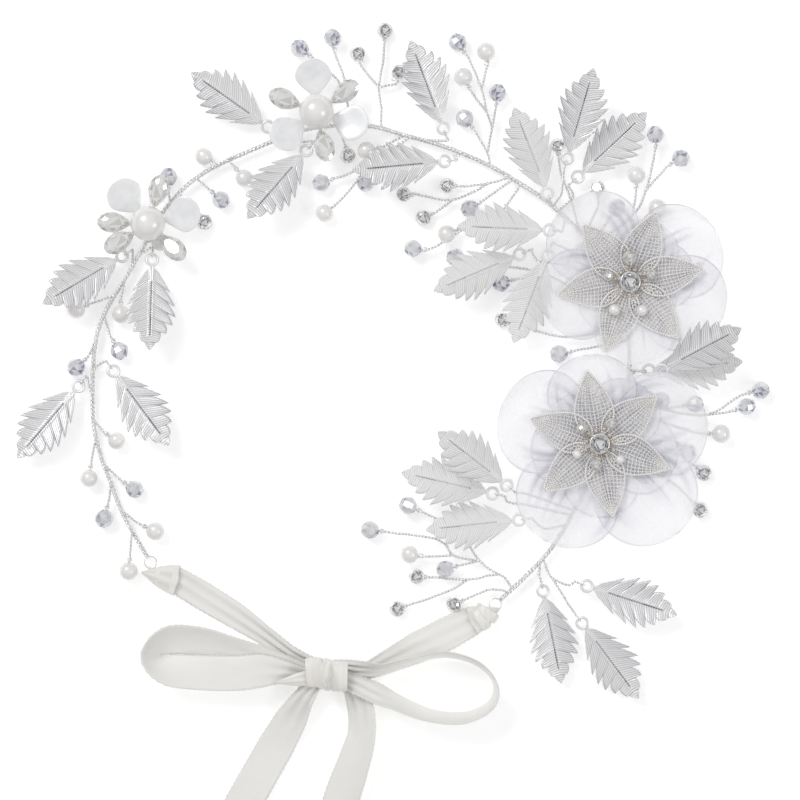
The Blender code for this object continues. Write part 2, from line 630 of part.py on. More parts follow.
# ---------------------------------------------------------------- flowers
def dished_disc(name, segments, rings, reach, height, thickness, collection, material):
    """A thin dish whose rim follows reach(angle) and whose surface is at height(share, angle)."""
    work = bmesh.new()
    bmesh.ops.create_uvsphere(work, u_segments=segments, v_segments=2 * rings, radius=1.0)
    low = [v for v in work.verts if v.co.z < -0.001]
    bmesh.ops.delete(work, geom=low, context="VERTS")
    for vert in work.verts:
        share = math.acos(max(-1.0, min(1.0, vert.co.z))) / (math.pi / 2)
        angle = math.atan2(vert.co.y, vert.co.x)
        radius = reach(angle) * share
        vert.co = (radius * math.cos(angle), radius * math.sin(angle), height(share * reach(angle)))
    dish = add_object(name, mesh_from(name, work), collection, material)
    wall = dish.modifiers.new("wall", "SOLIDIFY")
    wall.thickness = thickness
    wall.offset = 1.0
    shade(dish)
    return dish


def petal_reach(petals):
    """Rim of a flower cut as round petals round a middle."""
    def reach(angle):
        best = 0.0
        for direction, length in petals:
            off = (angle - math.radians(direction) + math.pi) % (2 * math.pi) - math.pi
            middle = length * MM * PETAL_MIDDLE
            radius = length * MM - middle
            under = radius ** 2 - (middle * math.sin(off)) ** 2
            if under > 0 and math.cos(off) > 0:
                best = max(best, middle * math.cos(off) + math.sqrt(under))
        return max(best, HEART * petals[0][1] * MM)
    return reach


def star_reach(first):
    """Rim of the filigree: six pointed petals."""
    def reach(angle):
        step = math.pi / 3
        off = abs((angle - math.radians(first) + step / 2) % step - step / 2) / (step / 2)
        return FILIGREE_REACH * (1.0 - STAR_NOTCH * off ** STAR_CURVE)
    return reach


def build_large_flower(side, collection, materials):
    place, lift, petals, star = LARGE_FLOWERS[side]
    base = FLOWER_FLOOR + lift * MM

    bpy.ops.mesh.primitive_cylinder_add(vertices=BACKING_SIDES, radius=BACKING_RADIUS,
                                        depth=BACKING_THICKNESS,
                                        location=on_ring(place, BACKING_THICKNESS / 2))
    backing = bpy.context.object
    backing.name = side + "_flower_backing"
    backing.data.materials.append(materials["felt"])
    move_to(backing, collection)

    reach_max = max(length for direction, length in petals) * MM
    organza = dished_disc(side + "_organza_petals", ORGANZA_SEGMENTS, ORGANZA_RINGS,
                          petal_reach(petals),
                          lambda r: ORGANZA_RISE * (r / reach_max) ** 2, ORGANZA_THICKNESS,
                          collection, materials["organza"])
    organza.location = on_ring(place, base)

    star_base = base + ORGANZA_THICKNESS + GAP
    filigree = dished_disc(side + "_filigree_flower", FILIGREE_SEGMENTS, FILIGREE_RINGS,
                           star_reach(star),
                           lambda r: FILIGREE_RISE * (r / FILIGREE_REACH) ** 2, FILIGREE_THICKNESS,
                           collection, materials["silver"])
    filigree.location = on_ring(place, star_base)

    stone_base = star_base + FILIGREE_THICKNESS + GAP + FILIGREE_RISE * (
        CENTRE_STONE_DIAMETER / 2 / FILIGREE_REACH) ** 2
    centre = on_ring(place, stone_base + CENTRE_STONE_HEIGHT / 2)
    mesh = stone_mesh(side + "_centre_stone", centre, CENTRE_STONE_DIAMETER, CENTRE_STONE_HEIGHT)
    add_object(side + "_centre_stone", mesh, collection, materials["stone"])


def shell_curve():
    """A round petal with a narrow foot, along +X from its foot."""
    curve = bpy.data.curves.new("shell_petal", "CURVE")
    curve.dimensions = "2D"
    curve.fill_mode = "BOTH"
    curve.extrude = SHELL_THICKNESS / 2
    spline = curve.splines.new("POLY")
    spline.points.add(SHELL_SIDES - 1)
    for i, slot in enumerate(spline.points):
        turn = 2 * math.pi * i / SHELL_SIDES
        x = SHELL_LENGTH / 2 * (1 + math.cos(turn))
        widening = min(1.0, x / (SHELL_LENGTH * SHELL_FOOT_LENGTH))
        foot = SHELL_FOOT_WIDTH + (1 - SHELL_FOOT_WIDTH) * widening
        slot.co = (x, SHELL_WIDTH / 2 * math.sin(turn) * foot, 0.0, 1.0)
    spline.use_cyclic_u = True
    return curve


def drop_mesh():
    """A faceted pear-shaped crystal, along +X from its narrow end."""
    work = bmesh.new()
    bmesh.ops.create_uvsphere(work, u_segments=8, v_segments=6, radius=0.5,
                              matrix=Matrix.Rotation(math.pi / 2, 4, "Y"))
    for vert in work.verts:
        share = vert.co.x + 0.5
        taper = DROP_FOOT_WIDTH + (1 - DROP_FOOT_WIDTH) * share
        vert.co = (share * DROP_LENGTH, vert.co.y * DROP_WIDTH * taper,
                   vert.co.z * DROP_THICKNESS * taper)
    return mesh_from("crystal_drop", work)


def build_small_flower(side, collection, materials):
    place, shells, drops = SMALL_FLOWERS[side]
    pearl_radius = CENTRE_PEARL_DIAMETER / 2
    middle = on_ring(place, 0)
    pearl_height = FLOWER_FLOOR + pearl_radius
    work = bmesh.new()
    bmesh.ops.create_uvsphere(work, u_segments=16, v_segments=10, radius=pearl_radius)
    pearl = add_object(side + "_centre_pearl", mesh_from(side + "_centre_pearl", work), collection,
                       materials["pearl"])
    pearl.location = middle + Vector((0, 0, pearl_height))
    shade(pearl)

    shell_data = shell_curve()
    shell_data.materials.append(materials["shell"])
    drop_data = drop_mesh()
    drop_data.materials.append(materials["drop"])
    foot = pearl_radius + GAP
    tilt = math.radians(PETAL_TILT)
    kinds = [("shell_petal", shells, shell_data, SHELL_THICKNESS / 2, foot * SHELL_FOOT),
             ("crystal_petal", drops, drop_data, DROP_THICKNESS / 2, foot * DROP_FOOT)]
    for kind, directions, data, half, start in kinds:
        for number, direction in enumerate(directions, 1):
            petal = bpy.data.objects.new("%s_%s_%d" % (side, kind, number), data)
            collection.objects.link(petal)
            turn = math.radians(direction)
            away = Vector((math.cos(turn), math.sin(turn), 0))
            petal.location = middle + away * start + Vector((0, 0, FLOWER_FLOOR + half * PETAL_SEAT))
            petal.rotation_euler = (0, -tilt, turn)


def move_to(thing, collection):
    for old in list(thing.users_collection):
        old.objects.unlink(thing)
    collection.objects.link(thing)


# ---------------------------------------------------------------- ribbons
def ribbon_strip(name, route, collection, material):
    """A flat band along a route, banked and narrowed as the route says."""
    points = [Vector((x, y, z)) * MM for x, y, z, bank, share in route]
    extras = [Vector((math.radians(bank), share, 0)) for x, y, z, bank, share in route]
    steps = 2
    path = []
    bands = []
    for i in range(len(points) - 1):
        for k in range(steps):
            path.append(hermite(points, i, k / steps))
            bands.append(extras[i].lerp(extras[i + 1], k / steps))
    path.append(points[-1])
    bands.append(extras[-1])

    work = bmesh.new()
    rows = []
    for i, point in enumerate(path):
        along = path[min(i + 1, len(path) - 1)] - path[max(i - 1, 0)]
        flat = Vector((-along.y, along.x, 0)).normalized()
        bank, share = bands[i][0], bands[i][1]
        side = flat * math.cos(bank) + Vector((0, 0, 1)) * math.sin(bank)
        half = side * RIBBON_WIDTH * share / 2
        rows.append((work.verts.new(point - half), work.verts.new(point + half)))
    for (a, b), (c, d) in zip(rows, rows[1:]):
        work.faces.new((a, c, d, b))
    strip = add_object(name, mesh_from(name, work), collection, material)
    wall = strip.modifiers.new("wall", "SOLIDIFY")
    wall.thickness = RIBBON_THICKNESS
    wall.offset = 0.0
    return strip


def hermite(points, i, t):
    last = len(points) - 1
    p0 = points[max(i - 1, 0)]
    p1 = points[i]
    p2 = points[i + 1]
    p3 = points[min(i + 2, last)]
    return 0.5 * (2 * p1 + (p2 - p0) * t + (2 * p0 - 5 * p1 + 4 * p2 - p3) * t ** 2
                  + (3 * p1 - 3 * p2 + p3 - p0) * t ** 3)


def knot_solid(name, centre, size, heading, collection, material):
    """A small rounded lump of knotted ribbon."""
    bpy.ops.mesh.primitive_uv_sphere_add(segments=10, ring_count=6, radius=0.5)
    knot = bpy.context.object
    knot.name = name
    knot.data.transform(Matrix.Diagonal((*size, 1.0)))
    knot.location = centre
    knot.rotation_euler = (0, 0, math.radians(heading))
    knot.data.materials.append(material)
    move_to(knot, collection)
    shade(knot)
    return knot


def follow_ring(route):
    """A ribbon's route spread with the ring, so that the bow keeps its place between the ends."""
    spread = RING_RADIUS / ROUTE_RING_RADIUS
    return [(x * spread, y * spread, *rest) for x, y, *rest in route]


def build_ribbon(side, end, neighbour, route, collection, material):
    """The knot on an end of the vine, and the ribbon that starts from it."""
    route = follow_ring(route)
    point = on_ring(end, VINE_HEIGHT)
    away = (point - on_ring(neighbour, VINE_HEIGHT)).normalized()
    eye = EYE_RADIUS * 2 + EYE_WIRE_RADIUS
    centre = point + away * (eye + GAP + KNOT_SIZE[0] / 2)
    centre.z = KNOT_SIZE[2] / 2 + GAP
    knot_solid(side + "_ribbon_knot", centre, KNOT_SIZE, math.degrees(math.atan2(away.y, away.x)),
               collection, material)
    first = Vector(route[0][:3]) * MM
    towards = first - centre
    towards.z = 0
    start = centre + towards.normalized() * (max(KNOT_SIZE) / 2 + GAP)
    opening = (start.x / MM, start.y / MM, route[0][2] + MOUTH_LIFT, route[0][3], MOUTH_SHARE)
    ribbon_strip(side + "_ribbon", [opening] + route, collection, material)


# ---------------------------------------------------------------- origin
def raw_points(thing):
    """World points of an object before its modifiers."""
    if thing.type == "MESH":
        return [thing.matrix_world @ v.co for v in thing.data.vertices]
    return [thing.matrix_world @ p.co.to_3d() for spline in thing.data.splines
            for p in spline.points]


def set_origin(crown, cutters, ribbons):
    """Moves the origin under the middle of the crown, which is measured without its ribbons."""
    bpy.context.view_layer.update()
    measured = list(crown.all_objects) + list(cutters.all_objects)
    places = []
    for thing in measured:
        places.extend(raw_points(thing))
    middle = Vector(((min(p.x for p in places) + max(p.x for p in places)) / 2,
                     (min(p.y for p in places) + max(p.y for p in places)) / 2, 0))
    for thing in measured + list(ribbons.all_objects):
        thing.location -= middle


# ---------------------------------------------------------------- build
def build():
    clear_scene()
    crown = new_collection("flower_crown")
    cutters = new_collection("cutters")
    ribbons = new_collection("ribbons")
    materials = {
        "silver": make_material("silver_wire", (0.86, 0.86, 0.87), 0.25, 1.0),
        "leaf": make_material("silver_leaf", (0.90, 0.90, 0.91), 0.28, 1.0),
        "pearl": make_material("ivory_pearl", (0.93, 0.91, 0.87), 0.22, 0.0),
        "stone": make_material("clear_stone", (0.80, 0.82, 0.86), 0.05, 0.0),
        "drop": make_material("champagne_drop", (0.93, 0.91, 0.87), 0.05, 0.0),
        "shell": make_material("white_shell", (0.93, 0.95, 0.96), 0.30, 0.0),
        "organza": make_material("white_organza", (0.95, 0.95, 0.99), 0.55, 0.0),
        "felt": make_material("white_felt", (0.92, 0.92, 0.92), 0.90, 0.0),
        "satin": make_material("ivory_satin", (0.95, 0.93, 0.88), 0.40, 0.0),
    }
    joins = [build_vine(crown, cutters, materials["silver"])]
    for name in SPRAYS:
        joins.append(build_spray(name, crown, cutters, materials["silver"]))
    build_leaves(crown, materials["leaf"])
    for side in LARGE_FLOWERS:
        build_large_flower(side, crown, materials)
    for side in SMALL_FLOWERS:
        build_small_flower(side, crown, materials)
    for side, end, neighbour, route in (("left", VINE_LINE[0], VINE_LINE[1], LEFT_RIBBON),
                                        ("right", VINE_LINE[-1], VINE_LINE[-2], RIGHT_RIBBON)):
        build_ribbon(side, end, neighbour, route, ribbons, materials["satin"])
    bow = Vector(follow_ring([BOW_KNOT_PLACE])[0]) * MM
    knot_solid("bow_knot", bow, BOW_KNOT_SIZE, BOW_KNOT_HEADING, ribbons, materials["satin"])
    set_origin(crown, cutters, ribbons)
    join_solids(joins)


build()
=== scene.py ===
# %% [markdown]
# # A flower crown, piece by piece
#
# The crown is a hair vine: fine silver wires wound into a stem, with stamped leaves, beads, two
# flowers of shell and crystal, two flowers of organza and filigree, and satin ribbons. This script
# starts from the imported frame, which fixes every size and every moving joint, and builds the
# fine pieces around it. Everything is in metres, and the crown lies on a table at Z = 0.

# %% Load the frame and keep its box
import math
import random

import bmesh
import bpy
from mathutils import Matrix, Vector


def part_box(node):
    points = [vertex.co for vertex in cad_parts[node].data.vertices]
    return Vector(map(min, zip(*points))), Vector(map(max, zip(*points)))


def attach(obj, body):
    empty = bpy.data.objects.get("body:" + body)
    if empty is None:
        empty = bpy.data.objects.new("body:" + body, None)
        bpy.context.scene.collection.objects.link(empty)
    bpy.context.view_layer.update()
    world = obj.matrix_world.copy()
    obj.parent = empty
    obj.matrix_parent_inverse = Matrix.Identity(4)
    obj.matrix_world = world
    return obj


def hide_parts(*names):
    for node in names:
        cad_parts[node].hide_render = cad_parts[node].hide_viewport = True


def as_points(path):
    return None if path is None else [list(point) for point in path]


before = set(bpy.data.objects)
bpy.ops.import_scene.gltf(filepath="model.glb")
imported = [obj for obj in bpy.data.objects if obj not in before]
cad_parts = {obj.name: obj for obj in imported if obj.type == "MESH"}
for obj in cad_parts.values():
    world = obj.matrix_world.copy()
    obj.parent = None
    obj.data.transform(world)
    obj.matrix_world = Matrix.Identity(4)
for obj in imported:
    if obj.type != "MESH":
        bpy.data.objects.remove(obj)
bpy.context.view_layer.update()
MM = 0.001

# %% [markdown]
# ## Places on the ring
#
# A maker lays a vine out round a ring, so a place is given as (angle, out): degrees round the ring
# from +X, and millimetres outside the ring line. The ring's middle follows from the backing pad of
# the upper large flower, whose place on the ring is known.

# %% Ring, box and selection helpers
RING_RADIUS = 0.0700
UPPER_PLACE = (16.5, 11.5)      # the upper large flower
UP = Vector((0, 0, 1))


def box_middle(name):
    low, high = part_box(name)
    return (Vector(low) + Vector(high)) / 2


def ring_vector(place):
    """From the ring's middle to a place on the ring."""
    angle, out = place
    radius = RING_RADIUS + out * MM
    turn = math.radians(angle)
    return Vector((radius * math.cos(turn), radius * math.sin(turn), 0))


pad = box_middle("upper_flower_backing")
RING_MIDDLE = Vector((pad.x, pad.y, 0)) - ring_vector(UPPER_PLACE)


def on_ring(place, height):
    """World point of a place on the ring, at a height in metres."""
    return RING_MIDDLE + ring_vector(place) + Vector((0, 0, height))


def deselect():
    for thing in bpy.context.selected_objects:
        thing.select_set(False)


def pick(thing, *others):
    """Selects these objects and nothing else, and makes the first one active."""
    deselect()
    for one in (thing, *others):
        one.select_set(True)
    bpy.context.view_layer.objects.active = thing


def settle(thing):
    """Applies a finished piece's place and turn to its mesh."""
    pick(thing)
    bpy.ops.object.transform_apply(location=True, rotation=True, scale=True)
    return thing


def thicken(thing, thickness):
    """Gives a sheet its thickness, half of it on each side."""
    pick(thing)
    wall = thing.modifiers.new("wall", "SOLIDIFY")
    wall.thickness = thickness
    wall.offset = 0.0
    bpy.ops.object.modifier_apply(modifier="wall")


def point_values(thing, name, values):
    """Writes one value for each point of a mesh, which its finish reads by that name."""
    data = thing.data.attributes.new(name, "FLOAT", "POINT")
    data.data.foreach_set("value", values)


def flat_direction(turn):
    """The level direction at an angle in radians from +X."""
    return Vector((math.cos(turn), math.sin(turn), 0))


print("ring middle:", [round(v / MM, 2) for v in RING_MIDDLE])

# %% [markdown]
# ## Finishes written as arithmetic
#
# A procedural finish is mostly arithmetic on patterns. `Value` wraps a node's output so that
# Python's own operators add Math nodes, and `Finish.node` adds any other node in one call.

# %% Value and Finish


class Value:
    """An output socket that Python arithmetic works on."""

    def __init__(self, finish, socket):
        self.finish = finish
        self.socket = socket

    def math(self, operation, *values):
        return self.finish.node("ShaderNodeMath", {"operation": operation}, dict(enumerate(values)))

    def __add__(self, other):
        return self.math("ADD", self, other)

    __radd__ = __add__

    def __sub__(self, other):
        return self.math("SUBTRACT", self, other)

    def __rsub__(self, other):
        return self.math("SUBTRACT", other, self)

    def __mul__(self, other):
        return self.math("MULTIPLY", self, other)

    __rmul__ = __mul__

    def sine(self):
        return self.math("SINE", self)

    def clamp(self, low=0.0, high=1.0):
        return self.math("MINIMUM", self.math("MAXIMUM", self, low), high)


class Finish:
    """One material: a Principled shader, and a short way to feed it."""

    def __init__(self, name, **settings):
        self.material = bpy.data.materials.new(name)
        self.material.use_nodes = True
        self.tree = self.material.node_tree
        self.shader = self.tree.nodes["Principled BSDF"]
        for socket, value in settings.items():
            self.set(socket.replace("_", " "), value)

    def set(self, socket, value):
        """A number or colour on the shader's own socket, or a pattern linked to it."""
        if isinstance(value, Value):
            self.tree.links.new(value.socket, self.shader.inputs[socket])
        elif isinstance(value, tuple) and len(value) == 3:
            self.shader.inputs[socket].default_value = (*value, 1.0)
        else:
            self.shader.inputs[socket].default_value = value

    def node(self, kind, settings=None, inputs=None, out=0):
        """Adds a node: its settings first, then the values or links of its sockets."""
        made = self.tree.nodes.new(kind)
        for name, value in (settings or {}).items():
            setattr(made, name, value)
        for socket, value in (inputs or {}).items():
            if isinstance(value, Value):
                self.tree.links.new(value.socket, made.inputs[socket])
            else:
                made.inputs[socket].default_value = value
        return Value(self, made.outputs[out])

    def place(self):
        return self.node("ShaderNodeTexCoord", out="Object")

    def attribute(self, name):
        return self.node("ShaderNodeAttribute", {"attribute_name": name}, out="Fac")

    def cut_place(self):
        """Place on the piece's own flat map, which is named cut."""
        return self.node("ShaderNodeUVMap", {"uv_map": "cut"})

    def cut(self, axis):
        """Place along one axis of that map: 0 across the piece, 1 along it."""
        return self.node("ShaderNodeSeparateXYZ", None, {0: self.cut_place()}, axis)

    def noise(self, scale, detail=2.0, vector=None):
        inputs = {"Scale": scale, "Detail": detail, "Vector": vector or self.place()}
        return self.node("ShaderNodeTexNoise", None, inputs)

    def mix(self, share, first, second):
        """Colour between two, by a share."""
        ends = [(*end, 1.0) if isinstance(end, tuple) else end for end in (first, second)]
        inputs = {0: share, 6: ends[0], 7: ends[1]}
        return self.node("ShaderNodeMix", {"data_type": "RGBA"}, inputs, 2)

    def bump(self, height, strength, distance):
        inputs = {"Strength": strength, "Distance": distance, "Height": height}
        self.set("Normal", self.node("ShaderNodeBump", None, inputs))


def dress(thing, finish, slot):
    """Gives a piece its finish; its slot argument is not used."""
    thing.data.materials.clear()
    thing.data.materials.append(finish.material)


# %% [markdown]
# ## The finishes
#
# Plated craft wire is bright, with faint dull patches where it was handled. The leaves are stamped
# from thin plated sheet: shade is painted into their colour, dark in the grooves, between the lobes
# and between the fine ribs, light on the ridges and darker on one side, and an attribute of the mesh
# carries it to the colour. Pearls are ivory under a clear coat. The crystals are glass with a
# lavender cast, and the stones are clear glass with a silvered back; the dark and bright facets of
# both are painted reflections.

# %% Metal finishes
LEAF_RIBS = 34      # fine ribs along a blade


def silver_wire():
    made = Finish("wound silver wire", Metallic=0.8)
    patches = made.noise(900.0, 3.0)
    grain = made.noise(9000.0, 1.0)
    made.set("Base Color", made.mix(patches, (0.98, 0.975, 0.97), (0.80, 0.795, 0.80)))
    made.set("Roughness", (0.16 + patches * 0.22).clamp())
    made.bump(grain, 0.15, 0.00002)
    return made


def silver_leaf(name, shadow, light, metallic):
    made = Finish(name, Metallic=metallic)
    relief_shade = made.attribute("relief_shade")
    patches = made.noise(190.0, 4.0)
    fine = made.noise(5200.0, 2.0)
    wave = (made.cut(1) * (2 * math.pi * LEAF_RIBS)).sine()
    ribs = (wave * 0.9 + 0.75).clamp()
    bright = made.mix(patches, light, (0.95, 0.93, 0.94))
    # Painted shade: the mesh's shade value and the ribs move the colour toward the shadow tone.
    shade = (relief_shade * 0.78 + ribs * 0.30).clamp()
    made.set("Base Color", made.mix(shade, shadow, bright))
    made.set("Roughness", (0.40 - relief_shade * 0.14 + patches * 0.14).clamp())
    made.bump(ribs * 0.9 + fine * 0.25, 0.9, 0.00012)
    return made


def filigree_silver():
    made = Finish("filigree silver", Metallic=0.16)
    hollow_shade = made.attribute("hollow_shade")
    patches = made.noise(700.0, 3.0)
    silver = made.mix(patches, (1.0, 0.995, 0.985), (0.97, 0.945, 0.915))
    # Painted shade: the wires and rungs are darker than the grains on them, so dark gaps show between the
    # bright grains.
    made.set("Base Color", made.mix(hollow_shade, silver, (0.55, 0.53, 0.51)))
    made.set("Roughness", (0.20 + patches * 0.2).clamp())
    made.bump(made.noise(8000.0, 1.0), 0.2, 0.00002)
    return made


WIRE = silver_wire()
LEAF = silver_leaf("stamped silver leaf", (0.27, 0.27, 0.30), (1.0, 0.995, 1.0), 0.46)
PALE_LEAF = silver_leaf("stamped pale leaf", (0.62, 0.61, 0.60), (1.0, 0.995, 0.99), 0.05)
FILIGREE = filigree_silver()
print("metals:", [metal.material.name for metal in (WIRE, LEAF, PALE_LEAF, FILIGREE)])

# %% Bead finishes


def ivory_pearl():
    made = Finish("ivory pearl", Metallic=0.08, Coat_Roughness=0.12, IOR=1.6)
    clouds = made.noise(420.0, 3.0)
    pores = made.noise(7000.0, 2.0)
    made.set("Base Color", made.mix(clouds, (0.955, 0.945, 0.915), (0.88, 0.87, 0.85)))
    made.set("Roughness", (0.24 + clouds * 0.14).clamp())
    made.set("Coat Weight", (0.7 + pores * 0.2).clamp())
    made.bump(pores, 0.08, 0.00002)
    return made


def clear_glass(name, tint, deep, tint_scale):
    made = Finish(name, Metallic=0.18, IOR=1.6, Transmission_Weight=0.20)
    drift = made.noise(tint_scale, 2.0)
    painted_facet_reflection = made.attribute("painted_facet_reflection")
    # Painted reflections: each facet's value moves the colour between the dark reflected tone and the
    # glass's tint.
    made.set("Base Color", made.mix((painted_facet_reflection * 0.95 + drift * 0.1).clamp(), deep, tint))
    made.set("Roughness", (0.02 + drift * 0.05).clamp())
    made.bump(made.noise(2600.0, 1.0), 0.05, 0.00002)
    return made


def cut_stone():
    made = Finish("silver backed stone", Metallic=0.75, IOR=2.0)
    painted_facet_reflection = made.attribute("painted_facet_reflection")
    drift = made.noise(1500.0, 2.0)
    # Painted reflections: facets dark or bright by the value that each was given.
    made.set("Base Color", made.mix(painted_facet_reflection, (0.06, 0.06, 0.08), (0.99, 0.99, 1.0)))
    made.set("Roughness", (0.03 + drift * 0.06).clamp())
    made.set("Coat Weight", (0.7 + drift * 0.3).clamp())
    return made


PEARL = ivory_pearl()
CRYSTAL = clear_glass("lavender crystal", (1.0, 1.0, 1.0), (0.30, 0.32, 0.47), 500.0)
DROP = clear_glass("champagne crystal", (1.0, 1.0, 0.99), (0.60, 0.58, 0.54), 300.0)
CHAMPAGNE = clear_glass("champagne glint", (0.98, 0.93, 0.86), (0.80, 0.70, 0.58), 900.0)
STONE = cut_stone()


def shell():
    made = Finish("white shell", Metallic=0.1, IOR=1.5, Subsurface_Weight=0.15,
                  Subsurface_Scale=0.002)
    made.shader.inputs["Subsurface Radius"].default_value = (1.0, 1.0, 1.0)
    bands = made.noise(330.0, 5.0)
    pores = made.noise(3600.0, 2.0)
    cloud = (bands * 1.6 - 0.3).clamp()
    made.set("Base Color", made.mix(cloud, (0.98, 0.98, 0.985), (0.79, 0.80, 0.82)))
    made.set("Roughness", (0.20 + bands * 0.20).clamp())
    made.set("Coat Weight", (0.4 + bands * 0.6).clamp())
    made.bump(pores, 0.1, 0.00004)
    return made


SHELL = shell()
print("bead finishes:", [bead.material.name for bead in (PEARL, CRYSTAL, DROP, CHAMPAGNE, STONE, SHELL)])

# %% [markdown]
# ## Cloth finishes
#
# Organza is a plain weave so open that light passes: its Alpha rises where the threads of the
# wave-shaped weave lie, at the rim where the cut edge is sealed, and in the gathers. Its creases have
# painted shade in their colour, and the cloth glows weakly as painted light. Satin shows long floats
# along the ribbon, so its bump runs along the strip's own map and a sheen lies on top; lengthwise
# streaks of painted sheen and painted shade in its folds are in its colour.

# %% Cloth and pad
ORGANZA_THREAD_GAP = 0.00030
SATIN_THREAD_GAP = 0.00034
SATIN_FLOAT_LENGTH = 0.0012


def weave(made, warp_gap, weft_gap):
    """Waves of the two thread directions on the piece's own map: 1 on a thread, -1 between two."""
    warp = (made.cut(0) * (2 * math.pi / warp_gap)).sine()
    weft = (made.cut(1) * (2 * math.pi / weft_gap)).sine()
    return warp, weft


def organza():
    made = Finish("sheer organza", Metallic=0.0, Sheen_Weight=0.25, Sheen_Roughness=0.5,
                  Specular_IOR_Level=0.3, Emission_Strength=0.05)
    crease_veil_and_shade = made.attribute("crease_veil_and_shade")
    rim = made.attribute("rim")
    warp, weft = weave(made, ORGANZA_THREAD_GAP, ORGANZA_THREAD_GAP)
    threads = ((warp + 1.0) * 0.25 + (weft + 1.0) * 0.25).clamp()
    drift = made.noise(160.0, 3.0)
    slub = made.noise(1500.0, 2.0)
    cloth = made.mix(slub, (0.97, 0.97, 0.99), (0.87, 0.87, 0.91))
    # Painted shade: the creases are painted dark grey-lavender; the sealed rim is darker as well.
    crease_shaded_cloth = made.mix((crease_veil_and_shade * 0.95 + rim * 0.6).clamp(), cloth, (0.52, 0.52, 0.60))
    made.set("Base Color", crease_shaded_cloth)
    # Painted light: the cloth glows weakly in its own colour, standing in for the light of the table that
    # shines through it.
    made.set("Emission Color", crease_shaded_cloth)
    made.set("Roughness", (0.42 + drift * 0.2).clamp())
    sheer = crease_veil_and_shade * 0.50 + rim * 0.50 + threads * 0.22 + slub * 0.18
    made.set("Alpha", (sheer + 0.36).clamp(0.05, 0.98))
    made.bump(threads + slub, 0.4, 0.00008)
    return made


def satin(name, tint, deep):
    made = Finish(name, Metallic=0.0, Sheen_Weight=0.3, Sheen_Roughness=0.35,
                  Specular_IOR_Level=0.6)
    warp, weft = weave(made, SATIN_THREAD_GAP, SATIN_FLOAT_LENGTH)
    floats = made.node("ShaderNodeMapping", None,
                       {"Vector": made.cut_place(), "Scale": (26.0, 1.0, 1.0)})
    # Painted sheen: these lengthwise streaks lighten and darken the colour; in the roughness and bump
    # they are the floats' real texture.
    streaks_and_sheen = made.noise(150.0, 4.0, floats)
    drift = made.noise(120.0, 4.0)
    fold_shade = made.attribute("fold_shade")
    body = made.mix((streaks_and_sheen * 0.7 + drift * 0.3).clamp(), tint, deep)
    # Painted shade: the colour darkens in the folds and pleats, by a value that the mesh carries.
    made.set("Base Color", made.mix((fold_shade * 0.8).clamp(), body, (0.66, 0.645, 0.61)))
    made.set("Roughness", (0.24 + streaks_and_sheen * 0.22).clamp())
    made.bump(warp * 0.5 + weft * 0.08 + streaks_and_sheen, 0.55, 0.00008)
    return made


def felt():
    made = Finish("white felt", Metallic=0.0, Sheen_Weight=0.4, Roughness=0.9)
    fibres = made.noise(2400.0, 6.0)
    made.set("Base Color", made.mix(fibres, (0.84, 0.84, 0.85), (0.95, 0.95, 0.95)))
    made.bump(fibres, 0.6, 0.0002)
    return made


ORGANZA = organza()
SATIN = satin("ivory satin", (1.0, 0.992, 0.965), (0.87, 0.86, 0.825))
FELT = felt()
print("finishes:", len(bpy.data.materials))
# %% [markdown]
# ## Camera, table and light
#
# The crown is looked at from straight above, so the camera is a long lens far over the table, which
# shows hardly any perspective. A high-key set is a pale table, one broad soft lamp high at one side
# and a weaker one at the other: bright cloth and pale metal then keep soft shade without hard shadows.

# %% Camera, table and lamps
VIEW_MIDDLE = Vector((0.00173, -0.01119, 0.0))
VIEW_WIDTH = 0.224
LENS = 200.0
SENSOR = 36.0
TABLE_SIZE = 6.0
TABLE_DROP = 0.0002
camera_data = bpy.data.cameras.new("camera")
camera_data.lens = LENS
camera_data.sensor_width = SENSOR
camera_data.clip_end = 10.0
camera = bpy.data.objects.new("camera", camera_data)
bpy.context.scene.collection.objects.link(camera)
camera.location = VIEW_MIDDLE + Vector((0, 0, VIEW_WIDTH * LENS / SENSOR))
bpy.context.scene.camera = camera

deselect()
bpy.ops.mesh.primitive_plane_add(size=TABLE_SIZE, location=(0, 0, -TABLE_DROP))
table = bpy.context.object
table.name = "table"
settle(table)
TABLE = Finish("pale table", Roughness=0.9, Specular_IOR_Level=0.1)
table_grain = TABLE.noise(40.0, 3.0)
TABLE.set("Base Color", TABLE.mix(table_grain, (0.935, 0.935, 0.935), (0.95, 0.95, 0.95)))
TABLE.shader.inputs["Emission Color"].default_value = (1.0, 1.0, 1.0, 1.0)
TABLE.shader.inputs["Emission Strength"].default_value = 0.30
table.data.materials.append(TABLE.material)


def lamp(name, place, size, power):
    """A square soft lamp that faces the crown."""
    data = bpy.data.lights.new(name, "AREA")
    data.size = size
    data.energy = power
    made = bpy.data.objects.new(name, data)
    bpy.context.scene.collection.objects.link(made)
    made.location = place
    made.rotation_euler = (VIEW_MIDDLE - Vector(place)).to_track_quat("-Z", "Y").to_euler()
    return made


lamp("key lamp", (-0.8, 0.9, 1.3), 0.7, 9.0)
lamp("fill lamp", (1.1, -0.3, 1.0), 0.5, 3.0)

